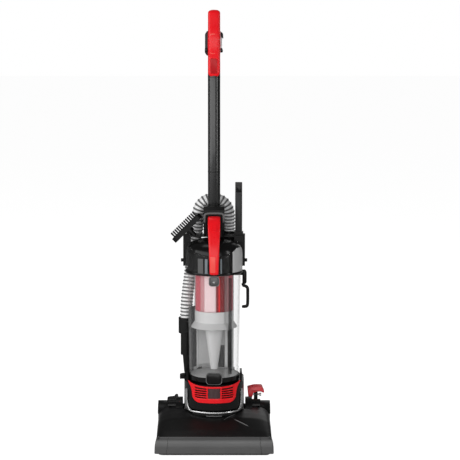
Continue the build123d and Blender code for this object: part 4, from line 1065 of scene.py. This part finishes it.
def makeLip(look):
    line = np.array(look["line"]) * mm
    y = low("neck_collar")[1] - 0.0002
    middles = evenly(smoothLine(np.column_stack((line[:, 0], np.full(len(line), y), line[:, 1])), 220), 100)
    ahead = directions(middles)
    ends = endRound(np.linspace(0, 1, 100), 8).clip(0.05)
    rings = superRings(middles, np.cross(ahead, (0, 1, 0)), (0, 1, 0), look["halfWide"] * ends,
                       look["halfDeep"] * ends, 3 * np.ones(100), 20)
    ringBody("collarLip", rings, "bandGrey", "upper_body", slot="satin_black", sharp=50)


makeLip(lipLook)


# inside and behind the cup; several of these sheets are painted light, marked below
# each panel: name, from and to angle, from and to height in mm, radius, finish, body, slot
cupPanels = [
    ("cradleDarkInner", 157, 171, 179, 238, 0.0707, "glossBlack", "upper_body", "gloss_black"),
    # painted reflection: the lower part of a dark vertical reflection stripe, drawn on the cradle
    ("cradleDarkReflection", 139, 149, 179, 335, 0.0707, "glossBlack", "upper_body", "gloss_black"),
    ("cradleFoot", 130, 230, 160, 184, 0.0712, "cradleGrey", "upper_body", "grey_plastic"),
    # painted reflection: the same dark vertical stripe on the cup wall
    ("cupDarkReflection", 36, 46, 186, 438, 0.0635, "reflectionStripeDark", "cup", "smoke_plastic"),
    # painted highlights: the next two pale lines stand in for highlights on the cup
    ("cradleHighlightRight", 149.6, 155.5, 180, 336, 0.0707, "highlightWhite", "upper_body", "silver_trim"),
    ("cradleHighlightLeft", 218.0, 221.0, 180, 440, 0.0707, "highlightWhite", "upper_body", "silver_trim"),
    ("cradleMiddle", 173, 216, 186, 336, 0.0707, "paleGrey", "upper_body", "grey_plastic"),
    ("cradleWing", -142, -112, 160, 348, 0.0716, "glossBlack", "upper_body", "gloss_black"),
    # painted reflection: the dark stripe where it crosses the shroud
    ("shroudDarkReflection", 36, 46, 347, 444, 0.0480, "reflectionStripeRed", "cup", "red_plastic"),
    ("shroudFinMiddle", 7, 33, 348, 445, 0.0497, "finRed", "cup", "red_plastic"),
    # painted highlight: a pale pink sheet brightening the front of the shroud
    ("shroudHighlight", -30, 5, 348, 445, 0.0497, "highlightPink", "cup", "red_plastic"),
    ("shroudFinBright", 13, 18, 348, 445, 0.0501, "redPlastic", "cup", "red_plastic"),
    ("shroudFinRight", 50, 74, 348, 445, 0.0497, "finPink", "cup", "red_plastic"),
    ("shroudFinLeft", -74, -46, 348, 445, 0.0497, "finPink", "cup", "red_plastic"),
]


def makeCupPanels():
    for name, first, last, bottom, top, radius, finish, body, slot in cupPanels:
        angle = np.radians(np.linspace(first, last, 16))[None, :]
        height = np.linspace(bottom, top, 24)[:, None] * mm
        shellPiece(name, angle, radius, height, cupY, 0.0006, finish, body, slot=slot)


makeCupPanels()
print("hooks, tools and panels made")


# dusting brush tufts
tuftLook = {"count": 13, "pitch": 0.0065, "radius": 0.0017, "tipRadius": 0.0019, "length": 0.0135,
            "faces": 8}


# tufts stand on two lines along the brush bar; each is a tapered prism that spreads towards its tip
def makeTufts(look):
    middle = (low("dusting_bristles") + high("dusting_bristles")) / 2
    along = np.array((0.7071, 0, 0.7071))
    out = np.array((-0.7071, 0, 0.7071))
    side = np.array((0, 1, 0))
    foot = middle - out * 0.0062
    t = np.linspace(0, 2 * math.pi, look["faces"], endpoint=False)
    points, faces = [], []
    for row in (-1, 1):
        for k in range(look["count"]):
            place = foot + along * (k - (look["count"] - 1) / 2) * look["pitch"] + side * row * 0.004
            lean = side * row * 0.0012
            ring = np.cos(t)[:, None] * along + np.sin(t)[:, None] * side
            steps = [(0, look["radius"]), (0.5, look["radius"] * 1.05), (0.96, look["tipRadius"]),
                     (1.0, look["tipRadius"] * 0.6)]
            rings = [place + (out * look["length"] + lean) * s + ring * r for s, r in steps]
            first = len(points) * look["faces"]
            points += rings
            body = np.array(gridFaces(len(steps), look["faces"], False, True)) + first
            faces += body.tolist()
            last = first + (len(steps) - 1) * look["faces"]
            faces += [list(range(first, first + look["faces"])), list(range(last, last + look["faces"]))]
    addPiece("brushTufts", np.array(points), faces, "bristle", "duster", replaced=["dusting_bristles"],
             slot="bristle", sharp=60)


makeTufts(tuftLook)


# latches
latchLook = {"back": 0.0, "frame": 0.0016, "corner": 0.0110, "wider": 0.0}
lidClipLook = {"back": 0.0018, "frame": 0.0020, "corner": 0.0085, "wider": 0.0022, "dotX": -0.0004,
               "dotRise": 0.0105,
               "dotRadius": 0.0022, "dotHole": 0.0004, "dotDeep": 0.0014, "dotAhead": 0.0006}


# a rounded plate facing the front, with a raised frame round it and a dark pad inside
def makeLatch(name, node, body, finish, frameFinish, padFinish, look, slot):
    lowCorner, highCorner = low(node), high(node)
    middleX = (lowCorner[0] + highCorner[0]) / 2
    halfX = (highCorner[0] - lowCorner[0]) / 2 + look["wider"]
    corners = [(-halfX, lowCorner[2]), (halfX, lowCorner[2]), (halfX, highCorner[2]), (-halfX,
                                                                                       highCorner[2])]
    outline = roundedOutline(corners, look["corner"], 8)
    place = (middleX, lowCorner[1], 0)
    thick = highCorner[1] - lowCorner[1]
    plateBody(name, outline, place, low=0.0012, high=thick - look["back"], bevel=0.0010, finish=finish,
              body=body,
              replaced=[node], slot=slot, **facingFront)
    middle = outline.mean(axis=0)
    inner = middle + (outline - middle) * (1 - look["frame"] / halfX)
    rings = []
    for ring, depth in ((outline, 0.0013), (outline, 0.0005), ((outline + inner) / 2, 0.0), (inner, 0.0005),
                        (inner, 0.0013)):
        rings.append(np.column_stack((middleX + ring[:, 0], np.full(len(ring), lowCorner[1] + depth),
                                      ring[:, 1])))
    faces = gridFaces(len(rings), len(outline), True, True)
    addPiece(name + "Frame", np.array(rings), faces, frameFinish, body, slot=slot, sharp=60)
    plateBody(name + "Pad", middle + (inner - middle) * 0.86, place, low=0.0006, high=0.003, bevel=0.0004,
              finish=padFinish, body=body, slot=slot, **facingFront)


makeLatch("lidClip", "lid_latch", "lid_lever", "darkGrey", "midGrey", "bandGrey", lidClipLook,
          "smoke_plastic")
makeLatch("doorClip", "door_latch", "door_lever", "glossBlack", "midGrey", "glossBlack", latchLook,
          "grey_plastic")


# a small round stud on the lid clip
def makeDot(look):
    lowCorner = low("lid_latch")
    hole, rim, deep = look["dotHole"], look["dotRadius"], look["dotDeep"]
    corners = [(hole, 0.0), (rim, 0.0), (rim, deep), (hole, deep)]
    profile = roundedOutline(corners, 0.0004, 4)
    angle = np.linspace(0, 2 * math.pi, 28, endpoint=False)[None, :]
    r, depth = profile[:, :1], profile[:, 1:]
    points = np.stack((r * np.cos(angle) + look["dotX"], lowCorner[1] - look["dotAhead"] + depth + 0 * angle,
                       lowCorner[2] + look["dotRise"] + r * np.sin(angle)), axis=-1)
    addPiece("lidClipDot", points, gridFaces(len(profile), 28, True, True), "silverTrim", "lid_lever",
             slot="grey_plastic")


makeDot(lidClipLook)
print("latches made")


# floor and light
stageLook = {"half": 30.0, "drop": 0.0005, "floorSeen": 0.93, "floorLight": 0.06, "worldSeen": 1.0,
             "worldLight": 0.09}


# the floor and the world look brighter than the light they give
def makeStage(look):
    size = look["half"]
    mesh = bpy.data.meshes.new("floor")
    corners = [(-size, -size, 0), (size, -size, 0), (size, size, 0), (-size, size, 0)]
    mesh.from_pydata(corners, [], [(0, 1, 2, 3)])
    floor = bpy.data.objects.new("floor", mesh)
    floor.location.z = -look["drop"]
    bpy.context.scene.collection.objects.link(floor)
    graph = Graph("paleFloor")
    speckle = graph.noise(3, 3)
    colour = graph.blendColour(speckle, grey(0.50), grey(0.56))
    seen = graph.add("LightPath", {}, {}, out="Is Camera Ray")
    values = {"Base Color": colour, "Roughness": 0.8, "Specular IOR Level": 0.1}
    base = graph.add("BsdfPrincipled", {}, values)
    bright = graph.add("Emission", {}, {"Color": grey(1.0), "Strength": look["floorSeen"]})
    dim = graph.add("Emission", {}, {"Color": grey(1.0), "Strength": look["floorLight"]})
    glow = graph.add("MixShader", {}, {0: seen, 1: dim, 2: bright})
    mesh.materials.append(graph.show(graph.add("AddShader", {}, {0: base, 1: glow})))
    world = bpy.data.worlds.new("studio")
    bpy.context.scene.world = world
    world.use_nodes = True
    tree = world.node_tree
    tree.nodes.clear()
    output = tree.nodes.new("ShaderNodeOutputWorld")
    mixer = tree.nodes.new("ShaderNodeMixShader")
    path = tree.nodes.new("ShaderNodeLightPath")
    seen = tree.nodes.new("ShaderNodeBackground")
    light = tree.nodes.new("ShaderNodeBackground")
    seen.inputs[0].default_value = grey(1.0)
    seen.inputs[1].default_value = look["worldSeen"]
    light.inputs[0].default_value = grey(1.0)
    light.inputs[1].default_value = look["worldLight"]
    tree.links.new(path.outputs["Is Camera Ray"], mixer.inputs[0])
    tree.links.new(light.outputs[0], mixer.inputs[1])
    tree.links.new(seen.outputs[0], mixer.inputs[2])
    tree.links.new(mixer.outputs[0], output.inputs[0])


makeStage(stageLook)
addPanels()

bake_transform(ribbedHose)
